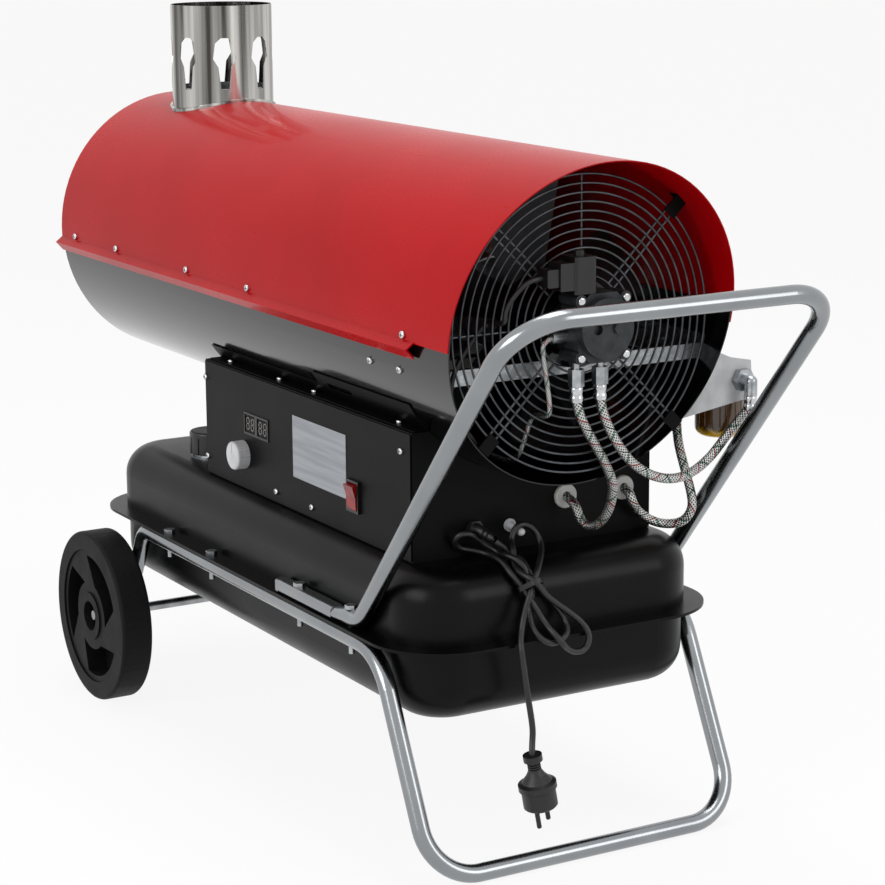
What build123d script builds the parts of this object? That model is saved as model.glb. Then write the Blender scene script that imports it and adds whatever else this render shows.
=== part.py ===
"""Indirect-fired diesel heater on a two-wheeled tube frame.

Millimetres, Z up. Stations along the drum are measured from the hot-air outlet end, and
every finished piece is then shifted so that the origin lies on the floor under the
middle of the heater. The intake grille and the handle are at +X, the control panel
faces -Y and the fuel filter hangs on the +Y side.
"""
from build123d import *
import math
import os

os.makedirs("parts", exist_ok=True)

# Drum and its two half shells
DRUM_RADIUS = 160.0
DRUM_LENGTH = 933.0
DRUM_AXIS_Z = 530.0
RIM_RAKE_DEG = 12.1
SHELL_WALL = 1.2
SHELL_LAP_GAP = 0.3
SEAM_DROP = 10.0
SEAM_LAP = 18.0
BEAD_REACH = 8.5
BEAD_TOP_DROP = 8.0
BEAD_TIP_DROP = 15.0
BEAD_BOTTOM_DROP = 25.0
BEAD_LENGTH = 869.0
SEAM_SCREW_STATIONS = (45.0, 169.0, 364.0, 517.0, 850.0)
SEAM_SCREW_DROP = 4.0
SCREW_SEAT = 0.02
SHELL_SCREW_STATIONS = (773.0, 831.0)
SHELL_SCREW_DROP = 41.0
SCREW_HEAD_D = 8.0
SCREW_HEAD_H = 3.0
SCREW_SHANK_D = 4.0

# Hot-air outlet
OUTLET_MOUTH_RADIUS = 112.0
OUTLET_RING_DEPTH = 30.0
OUTLET_LIP_SETBACK = 3.0
OUTLET_COLLAR_DEPTH = 24.0

# Flue
FLUE_D = 120.0
FLUE_WALL = 1.0
FLUE_STATION = 130.0
FLUE_TOP_Z = 801.0
FLUE_BOTTOM_Z = 668.0
FLUE_FIT_GAP = 0.3
FLUE_SLOT_COUNT = 8
FLUE_SLOT_BOTTOM_Z = 704.0
FLUE_SLOT_TOP_Z = 764.0
FLUE_SLOT_WIDTH = 27.0
COLLAR_WIDTH = 3.0
COLLAR_HEIGHT = 3.0

# Combustion chamber and heat exchanger
EXCHANGER_RADIUS = 126.0
EXCHANGER_START = 64.0
EXCHANGER_END = 610.0
EXCHANGER_WALL = 1.5
CHAMBER_RADIUS = 88.0
CHAMBER_START = 100.0
CHAMBER_END = 660.0
CHAMBER_WALL = 2.0
HANGER_STATIONS = (240.0, 560.0)
HANGER_ANGLES = (90.0, 210.0, 330.0)
HANGER_LENGTH = 20.0
HANGER_THICK = 2.0
SPIGOT_TOP_Z = 705.0

# Burner
BURNER_RADIUS = 46.0
BURNER_START = 640.0
BURNER_END = 752.0
BURNER_WALL = 1.5
BURNER_RING_GAP = 0.3
BURNER_PLATE_STATION = 664.0
BURNER_PLATE_THICK = 2.0
NOZZLE_D = 16.0
NOZZLE_TIP_D = 7.0
NOZZLE_START = 652.0
NOZZLE_END = 720.0
ELECTRODE_D = 5.0
ELECTRODE_SPREAD = 14.0

# Fan, motor and pump line
FAN_RADIUS = 131.0
FAN_BLADES = 5
FAN_STATION = 800.0
FAN_HUB_RADIUS = 26.0
FAN_HUB_LENGTH = 30.0
FAN_BLADE_THICK = 2.0
FAN_PITCH_DEG = 34.0
FAN_ROOT_WIDTH = 40.0
FAN_TIP_WIDTH = 80.0
SHAFT_D = 10.0
SHAFT_START = 784.0
SHAFT_FIT_GAP = 0.05
MOTOR_RADIUS = 43.0
MOTOR_START = 829.0
MOTOR_END = 904.0
MOTOR_BELL_RADIUS = 34.0
MOTOR_BELL_DEPTH = 9.0
BRACKET_TOP_Z = 482.0
BRACKET_THICK = 2.0
BRACKET_START = 764.0
BRACKET_END = 893.0
BRACKET_LIP = 13.0
BRACKET_TAB = 22.0
BRACKET_FAN_START = 773.0
BRACKET_FAN_END = 826.0
BRACKET_SIDE_KEEP = 20.0
MOTOR_FOOT_WIDTH = 60.0
MOTOR_FOOT_LENGTH = 50.0
COUPLING_RADIUS = 8.0
COUPLING_LENGTH = 9.0
PUMP_ADAPTER_RADIUS = 30.0
PUMP_BORE_RADIUS = 12.0
PUMP_ADAPTER_LENGTH = 14.0
PUMP_WIDTH = 56.0
PUMP_HEIGHT = 66.0
PUMP_DEPTH = 30.0
PUMP_CORNER = 13.0
PUMP_Z_OFFSET = 2.0
PUMP_COVER_RADIUS = 29.0
PUMP_COVER_DEPTH = 8.0
PUMP_EAR_RADIUS = 6.0
PUMP_EAR_Y = 25.0
PUMP_EAR_Z = 27.0
PUMP_PORT_Y = 11.0
PUMP_PORT_RADIUS = 5.0
PUMP_PORT_DEPTH = 5.0
COIL_WIDTH = 24.0
COIL_HEIGHT = 35.0
COIL_DEPTH = 26.0
COIL_Y = -20.0
COIL_BOTTOM_Z = 565.5
COIL_STATION = 936.0
COIL_SHELL_WIDTH = 15.0
COIL_SHELL_HEIGHT = 26.0
COIL_NUT_D = 10.0
COIL_NUT_H = 5.0
COIL_PLUG_WIDTH = 13.0
COIL_PLUG_HEIGHT = 17.0
COIL_PLUG_DEPTH = 18.0

# Intake grille
GRILLE_STATION = 911.0
GRILLE_RADIUS = 143.0
GRILLE_INNER_RADIUS = 47.0
GRILLE_RINGS = 12
GRILLE_WIRE_D = 2.2
GRILLE_SPOKE_D = 2.6
GRILLE_SPOKE_GAP = 8.0
GRILLE_CLIP_WIDTH = 14.0
GRILLE_CLIP_THICK = 1.5
GRILLE_CLIP_DEPTH = 10.0

# Control box
BOX_START = 360.0
BOX_END = 826.0
BOX_HALF_WIDTH = 138.5
BOX_BOTTOM_Z = 295.0
BOX_TOP_Z = 424.0
BOX_WALL = 1.5
BOX_RETURN = 22.0
BOX_DRUM_GAP = 0.3
SADDLE_Y = 130.0
SADDLE_WALL = 1.2
SADDLE_INSET = 3.0
SADDLE_TAB_START = 620.0
SADDLE_TAB_DEG = 7.0
SADDLE_SLOT_LENGTH = 50.0
SADDLE_SLOT_HEIGHT = 5.0
SADDLE_SLOT_STATION = 668.0
PANEL_THICK = 1.5
PANEL_EDGE = 1.5
PANEL_SCREWS = ((364.5, 404.7), (365.5, 314.9), (808.0, 403.8), (535.5, 308.0), (617.7, 308.0))
PANEL_SCREW_D = 7.0
DISPLAY_STATION = 489.0
DISPLAY_Z = 370.0
DISPLAY_WIDTH = 58.0
DISPLAY_HEIGHT = 24.0
DISPLAY_PROUD = 1.0
DISPLAY_BODY_DEPTH = 12.0
KNOB_STATION = 458.0
KNOB_Z = 334.0
KNOB_D = 31.0
KNOB_LENGTH = 15.0
KNOB_RIBS = 30
KNOB_RIB_DEPTH = 0.8
KNOB_FACE_GAP = 0.6
POT_SHAFT_D = 6.0
POT_SHAFT_LENGTH = 10.0
POT_D = 24.0
POT_DEPTH = 12.0
PLATE_STATION = 634.5
PLATE_Z = 365.5
PLATE_WIDTH = 118.0
PLATE_HEIGHT = 66.0
PLATE_THICK = 0.5
SWITCH_STATION = 710.0
SWITCH_Z = 339.0
SWITCH_WIDTH = 25.0
SWITCH_HEIGHT = 33.0
SWITCH_BEZEL_WALL = 2.5
SWITCH_BEZEL_PROUD = 3.0
SWITCH_BODY_DEPTH = 22.0
ROCKER_RADIUS = 22.0
ROCKER_TILT_DEG = 9.0
ROCKER_GAP = 0.4
BOARD_SIZE = (120.0, 90.0)
BOARD_STATION = 470.0
BOARD_THICK = 1.6
BOARD_LIFT = 8.0
TRANSFORMER_SIZE = (90.0, 60.0, 48.0)
TRANSFORMER_STATION = 730.0

# Rear face fittings
GROMMET_Z = 341.0
GROMMET_YS = (36.0, 104.6)
GROMMET_D = 25.0
GROMMET_BORE_D = 9.7
GROMMET_PROUD = 4.0
GROMMET_NECK_D = 18.0
GLAND_Y = -70.5
GLAND_Z = 321.5
GLAND_D = 16.0
GLAND_NUT_LENGTH = 6.0
GLAND_NOSE_D = 11.0
GLAND_NOSE_LENGTH = 9.0
HOOK_Y = -29.0
HOOK_Z = 319.5
HOOK_BASE_D = 13.0
HOOK_TIP_D = 6.0
HOOK_LENGTH = 22.0

# Fuel tank
TANK_START = 146.0
TANK_END = 887.0
TANK_HALF_WIDTH = 167.5
TANK_CORNER = 58.0
TANK_TOP_Z = 295.0
TANK_SEAM_Z = 222.5
TANK_BOTTOM_Z = 143.0
TANK_WALL = 1.5
TANK_TOP_ROUND = 34.0
TANK_BOTTOM_ROUND = 36.0
TANK_FLANGE = 20.5
BOWL_INSET = 5.0
FILLER_STATION = 285.0
FILLER_Y = -100.0
FILLER_NECK_D = 40.0
FILLER_NECK_WALL = 1.5
FILLER_NECK_TOP_Z = 312.0
FILLER_NECK_DEPTH = 16.0
CAP_D = 49.0
CAP_TOP_Z = 325.0
CAP_BOTTOM_Z = 299.0
CAP_WALL = 2.2
CAP_RIBS = 12
CAP_RIB_DEPTH = 1.4
CAP_NECK_GAP = 0.6

# Tube frame
TUBE_D = 18.0
TUBE_WALL = 1.5
TUBE_Y = 177.0
LOWER_TUBE_Z = 212.0
AXLE_BEND_STATION = 264.0
AXLE_STATION = 201.0
LEG_TOP_STATION = 826.0
FOOT_STATION = 927.0
AXLE_BEND_R = 26.0
LEG_BEND_R = 62.0
FOOT_BEND_R = 52.0
PADDLE_THICK = 6.0
PADDLE_WIDTH = 24.0
PADDLE_LENGTH = 44.0
ARM_START = 612.0
ARM_FLAT_END = 742.0
ARM_ROUND_START = 762.0
ARM_BEND_STATION = 787.0
ARM_FLAT_HEIGHT = 14.0
ARM_FLAT_WIDTH = 18.6
HANDLE_STATION = 1075.0
HANDLE_Z = 570.0
ARM_BEND_R = 30.0
HANDLE_BEND_R = 56.0
FAR_BOLT_STATIONS = (334.0, 445.0)
ARM_BOLT_STATIONS = (657.0, 769.0)
BOLT_D = 6.0
BOLT_HEAD_D = 11.0
BOLT_HEAD_H = 4.0
BOLT_TAIL = 7.0
BOLT_HOLE_GAP = 0.15

# Wheels and axle
WHEEL_D = 200.0
WHEEL_WIDTH = 37.0
WHEEL_INNER_Y = 187.0
WHEEL_EDGE_ROUND = 4.0
WHEEL_RIM_RADIUS = 79.0
WHEEL_DISH = 2.0
WHEEL_HUB_RADIUS = 24.0
WHEEL_HUB_GAP = 0.5
WHEEL_POCKET_DEPTH = 24.0
WHEEL_POCKET_IN = 40.0
WHEEL_POCKET_OUT = 72.0
WHEEL_POCKET_SPAN_DEG = 78.0
WHEEL_POCKET_SWIRL_DEG = 26.0
WHEEL_COUNTERBORE_D = 35.0
WHEEL_COUNTERBORE_DEPTH = 13.0
AXLE_D = 11.0
AXLE_FIT_GAP = 0.06
AXLE_TAIL = 6.0
LOCK_D = 26.0
LOCK_THICK = 2.0

# Fuel filter
FILTER_PLATE_STATION = 902.0
FILTER_PLATE_THICK = 2.5
FILTER_PLATE_TOP_Z = 476.0
FILTER_PLATE_OUTER_Y = 205.0
FILTER_PLATE_LOW_Z = 436.0
FILTER_PLATE_FOOT_Z = 410.0
FILTER_FOOT_LENGTH = 34.0
FILTER_Y = 192.0
FILTER_STATION = 872.0
FILTER_BOWL_D = 51.0
FILTER_BOWL_TOP_Z = 436.0
FILTER_BOWL_BOTTOM_Z = 394.0
FILTER_BOWL_WALL = 2.0
FILTER_BOWL_RIBS = 20
FILTER_HEAD_D = 54.0
FILTER_HEAD_TOP_Z = 468.0
FILTER_PORT_Z = 456.0
UNION_HEX = 21.0
UNION_HEX_LENGTH = 8.0
UNION_NUT_HEX = 18.0
UNION_NUT_LENGTH = 10.0
UNION_BORE_D = 9.0

# Flexible lines
HOSE_D = 9.5
FITTING_HEX = 13.5
FITTING_LENGTH = 17.0
FITTING_NIPPLE_D = 7.0
FITTING_NIPPLE_LENGTH = 10.0
LINE_D = 5.0
CABLE_D = 5.0

# Mains cord
CORD_D = 6.2
TIE_WIDTH = 5.0
TIE_WALL = 1.2

# Clearances and grips that several pieces share
HOLE_GAP = 0.1
SEAM_GRIP = 5.0
PANEL_GRIP = 6.0
SADDLE_SCREW_Y = 126.0
SADDLE_SCREW_STATIONS = (400.0, 520.0, 600.0, 780.0)
CHAMBER_PIN_D = 10.0
CHAMBER_PORTS = 6
CHAMBER_PORT_D = 28.0
BURNER_STOP = 5.0
NOZZLE_SOCKET = 8.0
FITTING_STATION = 935.0
FITTING_YS = (-22.0, 4.8)
FITTING_STEM = 6.0
HOSE_SOCKET = 6.0
LINE_STATION = 925.0
LINE_Z = 523.0
LINE_NUT_D = 12.0
LINE_NUT_LENGTH = 16.0

SPIGOT_STATION = 790.0
SPIGOT_D = 7.0
SPIGOT_TOP = 316.0
SADDLE_TOP_Z = 440.0
SADDLE_TAB_TOP_Z = 452.0
SADDLE_LEDGE_Y = 134.0
DISPLAY_FRAME = 2.0
DISPLAY_SINK = 0.8
BOARD_Z = 350.0
BOARD_BLOCKS = ((-50.0, -34.0), (-22.0, -36.0), (12.0, -30.0), (36.0, 4.0), (-48.0, 16.0))
SWITCH_LEDGE = 1.5
ROCKER_FRONT = 5.0
ROCKER_BACK = 6.0
ROCKER_END_GAP = 1.4
GLAND_THREAD = 9.0
HOOK_BALL_D = 8.0
TANK_LOWER_INSET = 2.5
PADDLE_BLEND = 20.0
PADDLE_FACE_Y = TUBE_Y + PADDLE_THICK / 2
POCKET_STEPS = 12
WHEEL_POCKET_START_DEG = 24.0
FILTER_ROOT_Y = 150.5
FILTER_INNER_Y = 124.0
FILTER_UNION_Y = 193.0
FILTER_SPOUT = 7.0
UNION_STEM_D = 9.0
UNION_REACH = 8.5
UNION_ELBOW_D = 13.0
UNION_DROP = 14.0

TIE_GAP = 0.4
PLUG_RIBS = 4
PLUG_NECK_R = 6.6
PLUG_LENGTH = 56.0
PLUG_SOCKET = 5.0
PLUG_PIN_D = 4.8
PLUG_PIN_PITCH = 19.0
PLUG_PIN_LENGTH = 19.0
PLUG_PIN_LINE = (-0.5, 0.866, 0.16)

# Worked out from the sizes above
MODEL_SHIFT = -(HANDLE_STATION + TUBE_D / 2) / 2
SHELL_INNER_RADIUS = DRUM_RADIUS - SHELL_WALL
LOWER_OUTER_RADIUS = SHELL_INNER_RADIUS - SHELL_LAP_GAP
LOWER_INNER_RADIUS = LOWER_OUTER_RADIUS - SHELL_WALL
FLUE_RADIUS = FLUE_D / 2
WHEEL_RADIUS = WHEEL_D / 2
PUMP_START = MOTOR_END + PUMP_ADAPTER_LENGTH
PUMP_END = PUMP_START + PUMP_DEPTH
PUMP_Z = DRUM_AXIS_Z + PUMP_Z_OFFSET
FLANGE_TOP_Z = TANK_SEAM_Z + TANK_WALL
FLANGE_BOTTOM_Z = TANK_SEAM_Z - TANK_WALL
ARM_Z = FLANGE_TOP_Z + ARM_FLAT_HEIGHT / 2
BIG = 4 * DRUM_RADIUS


def save(shape, node):
    """Write one sub-part, shifted to the heater's own origin."""
    export_step(shape.moved(Location((MODEL_SHIFT, 0, 0))), f"parts/{node}.step")


def group(shapes):
    """Several separate solids as one sub-part."""
    solids = [solid for shape in shapes for solid in shape.solids()]
    return Compound(children=solids)


def rod(radius, length, start, direction):
    """A solid cylinder from a point along a direction."""
    plane = Plane(origin=start, z_dir=direction)
    return extrude(plane * Circle(radius), length)


def rod_x(radius, start, end, y=0.0, z=DRUM_AXIS_Z):
    """A solid cylinder along X between two stations."""
    return rod(radius, end - start, (start, y, z), (1, 0, 0))


def ring_x(outer, inner, start, end, y=0.0, z=DRUM_AXIS_Z):
    """A hollow cylinder along X between two stations."""
    return rod_x(outer, start, end, y, z) - rod_x(inner, start - 1, end + 1, y, z)


def ring_z(outer, inner, x, y, bottom, top):
    """A hollow cylinder along Z."""
    return rod(outer, top - bottom, (x, y, bottom), (0, 0, 1)) - rod(
        inner, top - bottom + 2, (x, y, bottom - 1), (0, 0, 1))


def hex_x(across, start, end, y, z):
    """A hexagonal bar along X."""
    plane = Plane(origin=(start, y, z), x_dir=(0, 1, 0), z_dir=(1, 0, 0))
    return extrude(plane * RegularPolygon(across / 2, 6, major_radius=False), end - start)


def block(x0, x1, y0, y1, z0, z1):
    """A box between two corners."""
    return Pos((x0 + x1) / 2, (y0 + y1) / 2, (z0 + z1) / 2) * Box(x1 - x0, y1 - y0, z1 - z0)


def mirror_y(shape):
    """The same shape on the other side of the heater."""
    return shape.mirror(Plane.XZ)


def polar(radius, angle_deg, z=DRUM_AXIS_Z):
    """Y and Z of a point at an angle round the drum axis."""
    angle = math.radians(angle_deg)
    return radius * math.cos(angle), z + radius * math.sin(angle)


def rake_cutter():
    """Everything beyond the slanted intake rim."""
    run = BIG * math.tan(math.radians(RIM_RAKE_DEG))
    low = (DRUM_LENGTH - run, DRUM_AXIS_Z - BIG)
    high = (DRUM_LENGTH + run, DRUM_AXIS_Z + BIG)
    far = DRUM_LENGTH + 3 * BIG
    outline = Polyline(low, high, (far, high[1]), (far, low[1]), close=True)
    face = make_face(Plane.XZ * outline)
    return extrude(face, BIG, both=True)


def screw(point, direction, grip, head_d=SCREW_HEAD_D, shank_d=SCREW_SHANK_D):
    """A domed screw: its head sits at the point and its shank runs back against direction."""
    head = rod(head_d / 2, SCREW_HEAD_H, point, direction)
    rim = head.edges().filter_by(GeomType.CIRCLE).sort_by(
        lambda edge: (edge.center() - Vector(*point)).length)[-1]
    head = fillet(rim, SCREW_HEAD_H * 0.6)
    back = tuple(-value for value in direction)
    return head + rod(shank_d / 2, grip, point, back)


def screw_hole(point, direction, grip, shank_d=SCREW_SHANK_D):
    """The clearance hole for the same screw."""
    back = tuple(-value for value in direction)
    return rod(shank_d / 2 + HOLE_GAP, grip + 1, point, back)


def tube_route(points, diameter, name, wall=0.0):
    """A round tube or cord through points, with an arc at each corner."""
    radii = []
    for before, here, after in zip(points, points[1:], points[2:]):
        run_in = Vector(*here) - Vector(*before)
        run_out = Vector(*after) - Vector(*here)
        turn = math.radians(run_in.get_angle(run_out))
        radii.append(0.45 * min(run_in.length, run_out.length) / math.tan(turn / 2))
    path = FilletPolyline(*points, radius=radii)
    start = Plane(origin=path @ 0, z_dir=path % 0)
    section = start * Circle(diameter / 2)
    if wall:
        section -= start * Circle(diameter / 2 - wall)
    tube = sweep(section, path=path)
    print(f"{name}: length {path.length:.0f}, tightest bend {min(radii):.1f}")
    return tube


def bent_tube(points, radii, diameter, wall):
    """A metal tube with a stated radius at each bend."""
    path = FilletPolyline(*points, radius=radii)
    start = Plane(origin=path @ 0, z_dir=path % 0)
    return sweep(start * (Circle(diameter / 2) - Circle(diameter / 2 - wall)), path=path)


# Places of the screws in the drum
def seam_points():
    """Seam screws: a point on the shell and the outward direction."""
    reach = DRUM_RADIUS + SCREW_SEAT
    places = []
    for side in (-1, 1):
        for station in SEAM_SCREW_STATIONS:
            places.append(((station, side * reach, DRUM_AXIS_Z - SEAM_SCREW_DROP), (0, side, 0)))
    return places


def bracket_points():
    """Screws that hold the motor bracket in the lower shell."""
    angle = math.asin(SHELL_SCREW_DROP / LOWER_OUTER_RADIUS)
    reach = LOWER_OUTER_RADIUS * math.cos(angle)
    places = []
    for side in (-1, 1):
        for station in SHELL_SCREW_STATIONS:
            outward = (0, side * math.cos(angle), -math.sin(angle))
            places.append(((station, side * reach, DRUM_AXIS_Z - SHELL_SCREW_DROP), outward))
    return places


def box_top_points():
    """Screws that hold the saddle on the box."""
    level = BOX_TOP_Z + SADDLE_WALL
    return [((station, side * SADDLE_SCREW_Y, level), (0, 0, 1))
            for side in (-1, 1) for station in SADDLE_SCREW_STATIONS]


def panel_points():
    """Screws in the face of the control panel."""
    level = -BOX_HALF_WIDTH - PANEL_THICK
    return [((x, level, z), (0, -1, 0)) for x, z in PANEL_SCREWS]


RIM_CUT = rake_cutter()
SEAM_HOLES = [screw_hole(point, out, SEAM_GRIP) for point, out in seam_points()]
BRACKET_HOLES = [screw_hole(point, out, SEAM_GRIP) for point, out in bracket_points()]
PANEL_HOLES = [screw_hole(point, out, PANEL_GRIP) for point, out in panel_points()]
BOX_TOP_HOLES = [screw_hole(point, out, PANEL_GRIP) for point, out in box_top_points()]

# Upper shell with its hems and the hole for the flue
shell_seam_z = DRUM_AXIS_Z - SEAM_DROP
upper = ring_x(DRUM_RADIUS, SHELL_INNER_RADIUS, 0, DRUM_LENGTH + DRUM_RADIUS)
upper &= block(-1, 2 * DRUM_LENGTH, -BIG, BIG, shell_seam_z, shell_seam_z + BIG)
upper -= rod(FLUE_RADIUS + FLUE_FIT_GAP, BIG, (FLUE_STATION, 0, DRUM_AXIS_Z), (0, 0, 1))


def bead_section(sink, pinch):
    """The hem in cross-section, or the hollow inside its fold."""
    root = DRUM_RADIUS - SHELL_WALL / 2 - sink
    return Polyline((root, DRUM_AXIS_Z - BEAD_TOP_DROP - pinch),
                    (DRUM_RADIUS + BEAD_REACH - 2 * pinch, DRUM_AXIS_Z - BEAD_TIP_DROP),
                    (root, DRUM_AXIS_Z - BEAD_BOTTOM_DROP + pinch), close=True)


def bead():
    """One hem, folded along the seam of the upper shell."""
    outer = extrude(make_face(Plane.YZ * bead_section(0, 0)), BEAD_LENGTH, dir=(1, 0, 0))
    inner = extrude(make_face(Plane.YZ * bead_section(1, SHELL_WALL)), BEAD_LENGTH, dir=(1, 0, 0))
    return outer - inner - rod_x(LOWER_OUTER_RADIUS + SHELL_LAP_GAP, -1, BEAD_LENGTH + 1)


near_bead = bead()
upper = upper + near_bead + mirror_y(near_bead)
upper -= RIM_CUT
for hole in SEAM_HOLES:
    upper -= hole
save(upper, "upper_shell")
save(group([screw(point, out, SEAM_GRIP - 1) for point, out in seam_points() + bracket_points()]),
     "shell_screws")

# Lower shell, tucked inside the upper one
lower = ring_x(LOWER_OUTER_RADIUS, LOWER_INNER_RADIUS, 0, DRUM_LENGTH + DRUM_RADIUS)
lower -= block(-1, 2 * DRUM_LENGTH, -BIG, BIG, shell_seam_z + SEAM_LAP, shell_seam_z + BIG)
lower -= RIM_CUT
lower -= rod(CABLE_D / 2 + 3 * HOLE_GAP, DRUM_RADIUS, (800, -90, DRUM_AXIS_Z - 60), (0, 0, -1))
for hole in SEAM_HOLES + BRACKET_HOLES:
    lower -= hole
save(lower, "lower_shell")

# Recessed ring round the hot-air mouth
outlet_outer = LOWER_INNER_RADIUS - SHELL_LAP_GAP
outlet = ring_x(outlet_outer, outlet_outer - SHELL_WALL, OUTLET_LIP_SETBACK, OUTLET_RING_DEPTH)
outlet += ring_x(outlet_outer, OUTLET_MOUTH_RADIUS - SHELL_WALL, OUTLET_RING_DEPTH - SHELL_WALL,
                 OUTLET_RING_DEPTH)
outlet += ring_x(OUTLET_MOUTH_RADIUS, OUTLET_MOUTH_RADIUS - SHELL_WALL,
                 OUTLET_RING_DEPTH - OUTLET_COLLAR_DEPTH, OUTLET_RING_DEPTH)
for hole in SEAM_HOLES:
    outlet -= hole
save(outlet, "outlet_cone")

# Combustion chamber, held in the heat exchanger
chamber = ring_x(CHAMBER_RADIUS, CHAMBER_RADIUS - CHAMBER_WALL, CHAMBER_START, CHAMBER_END)
chamber += rod_x(CHAMBER_RADIUS, CHAMBER_START, CHAMBER_START + CHAMBER_WALL)
chamber += ring_x(CHAMBER_RADIUS, BURNER_RADIUS + BURNER_RING_GAP, CHAMBER_END - CHAMBER_WALL,
                  CHAMBER_END)
chamber += rod_x(CHAMBER_PIN_D / 2, EXCHANGER_START + EXCHANGER_WALL, CHAMBER_START + 1)
for step in range(CHAMBER_PORTS):
    y, z = polar(1.0, (step + 0.5) * 360 / CHAMBER_PORTS, 0.0)
    chamber -= rod(CHAMBER_PORT_D / 2, CHAMBER_RADIUS + 1,
                   (CHAMBER_START + CHAMBER_PORT_D, 0, DRUM_AXIS_Z), (0, y, z))
save(chamber, "combustion_chamber")

# Heat exchanger with its spigot for the flue and its hangers
spigot_radius = FLUE_RADIUS - FLUE_WALL - FLUE_FIT_GAP
exchanger = rod_x(EXCHANGER_RADIUS, EXCHANGER_START, EXCHANGER_END)
exchanger += rod(spigot_radius, SPIGOT_TOP_Z - DRUM_AXIS_Z, (FLUE_STATION, 0, DRUM_AXIS_Z), (0, 0, 1))
for station in HANGER_STATIONS:
    for angle in HANGER_ANGLES:
        reach = SHELL_INNER_RADIUS if angle == 90.0 else LOWER_INNER_RADIUS
        leaf = block(station, station + HANGER_LENGTH, -HANGER_THICK / 2, HANGER_THICK / 2,
                     DRUM_AXIS_Z + EXCHANGER_RADIUS - 1, DRUM_AXIS_Z + reach - HOLE_GAP)
        exchanger += leaf.rotate(Axis((0, 0, DRUM_AXIS_Z), (1, 0, 0)), angle - 90.0)
exchanger -= rod_x(EXCHANGER_RADIUS - EXCHANGER_WALL, EXCHANGER_START + EXCHANGER_WALL,
                   EXCHANGER_END - EXCHANGER_WALL)
exchanger -= rod(spigot_radius - EXCHANGER_WALL, BIG, (FLUE_STATION, 0, DRUM_AXIS_Z), (0, 0, 1))
exchanger -= rod_x(CHAMBER_RADIUS + BURNER_RING_GAP, EXCHANGER_END - 2 * EXCHANGER_WALL,
                   EXCHANGER_END + 1)
save(exchanger, "heat_exchanger")


# Flue pipe with a ring of torch-shaped slots
def flue_slot():
    """The outline of one slot, cut out along +X from the pipe's axis."""
    half = FLUE_SLOT_WIDTH / 2
    mid = (FLUE_SLOT_BOTTOM_Z + FLUE_SLOT_TOP_Z) / 2
    neck = half * 0.35
    outline = Polyline((-neck, FLUE_SLOT_BOTTOM_Z), (neck, FLUE_SLOT_BOTTOM_Z),
                       (half * 0.55, mid - 4), (half, mid + 6), (half * 0.8, FLUE_SLOT_TOP_Z - 6),
                       (half * 0.3, FLUE_SLOT_TOP_Z), (-half * 0.3, FLUE_SLOT_TOP_Z),
                       (-half * 0.8, FLUE_SLOT_TOP_Z - 6), (-half, mid + 6),
                       (-half * 0.55, mid - 4), close=True)
    return extrude(make_face(Plane.YZ * outline), FLUE_D)


flue = ring_z(FLUE_RADIUS, FLUE_RADIUS - FLUE_WALL, 0, 0, FLUE_BOTTOM_Z, FLUE_TOP_Z)
slot = flue_slot()
for step in range(FLUE_SLOT_COUNT):
    flue -= slot.rotate(Axis.Z, (step + 0.5) * 360 / FLUE_SLOT_COUNT)
save(flue.moved(Location((FLUE_STATION, 0, 0))), "flue_pipe")

# Collar that seals the flue where it leaves the drum
collar = ring_z(FLUE_RADIUS + COLLAR_WIDTH, FLUE_RADIUS + HOLE_GAP, FLUE_STATION, 0,
                DRUM_AXIS_Z, DRUM_AXIS_Z + DRUM_RADIUS + COLLAR_HEIGHT)
collar -= rod_x(DRUM_RADIUS + HOLE_GAP, -1, DRUM_LENGTH)
collar &= rod_x(DRUM_RADIUS + COLLAR_HEIGHT, -1, DRUM_LENGTH)
save(collar, "flue_collar")

# Burner tube, nozzle and electrodes
burner = ring_x(BURNER_RADIUS, BURNER_RADIUS - BURNER_WALL, BURNER_START, BURNER_END)
burner += rod_x(BURNER_RADIUS - BURNER_WALL / 2, BURNER_PLATE_STATION,
                BURNER_PLATE_STATION + BURNER_PLATE_THICK)
burner -= rod_x(NOZZLE_D / 2 + HOLE_GAP, BURNER_START, BURNER_END)
burner += ring_x(BURNER_RADIUS + BURNER_STOP, BURNER_RADIUS - BURNER_WALL, CHAMBER_END,
                 CHAMBER_END + BURNER_WALL)
for side in (-1, 1):
    burner -= rod_x(ELECTRODE_D / 2 + HOLE_GAP, BURNER_START, BURNER_END,
                    side * ELECTRODE_SPREAD, DRUM_AXIS_Z + ELECTRODE_SPREAD)
save(burner, "burner_tube")
nozzle = rod_x(NOZZLE_D / 2, NOZZLE_START + NOZZLE_TIP_D, NOZZLE_END)
nozzle += rod_x(NOZZLE_TIP_D / 2, NOZZLE_START, NOZZLE_START + NOZZLE_TIP_D + 1)
nozzle -= rod_x(LINE_D / 2 + HOLE_GAP, NOZZLE_END - NOZZLE_SOCKET, NOZZLE_END + 1)
save(nozzle, "burner_nozzle")
electrodes = [rod_x(ELECTRODE_D / 2, BURNER_PLATE_STATION - 14, BURNER_PLATE_STATION + 36,
                    side * ELECTRODE_SPREAD, DRUM_AXIS_Z + ELECTRODE_SPREAD)
              + rod_x(ELECTRODE_D / 5, BURNER_START + 4, BURNER_PLATE_STATION - 13,
                      side * ELECTRODE_SPREAD, DRUM_AXIS_Z + ELECTRODE_SPREAD)
              for side in (-1, 1)]
save(group(electrodes), "electrodes")


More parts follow.
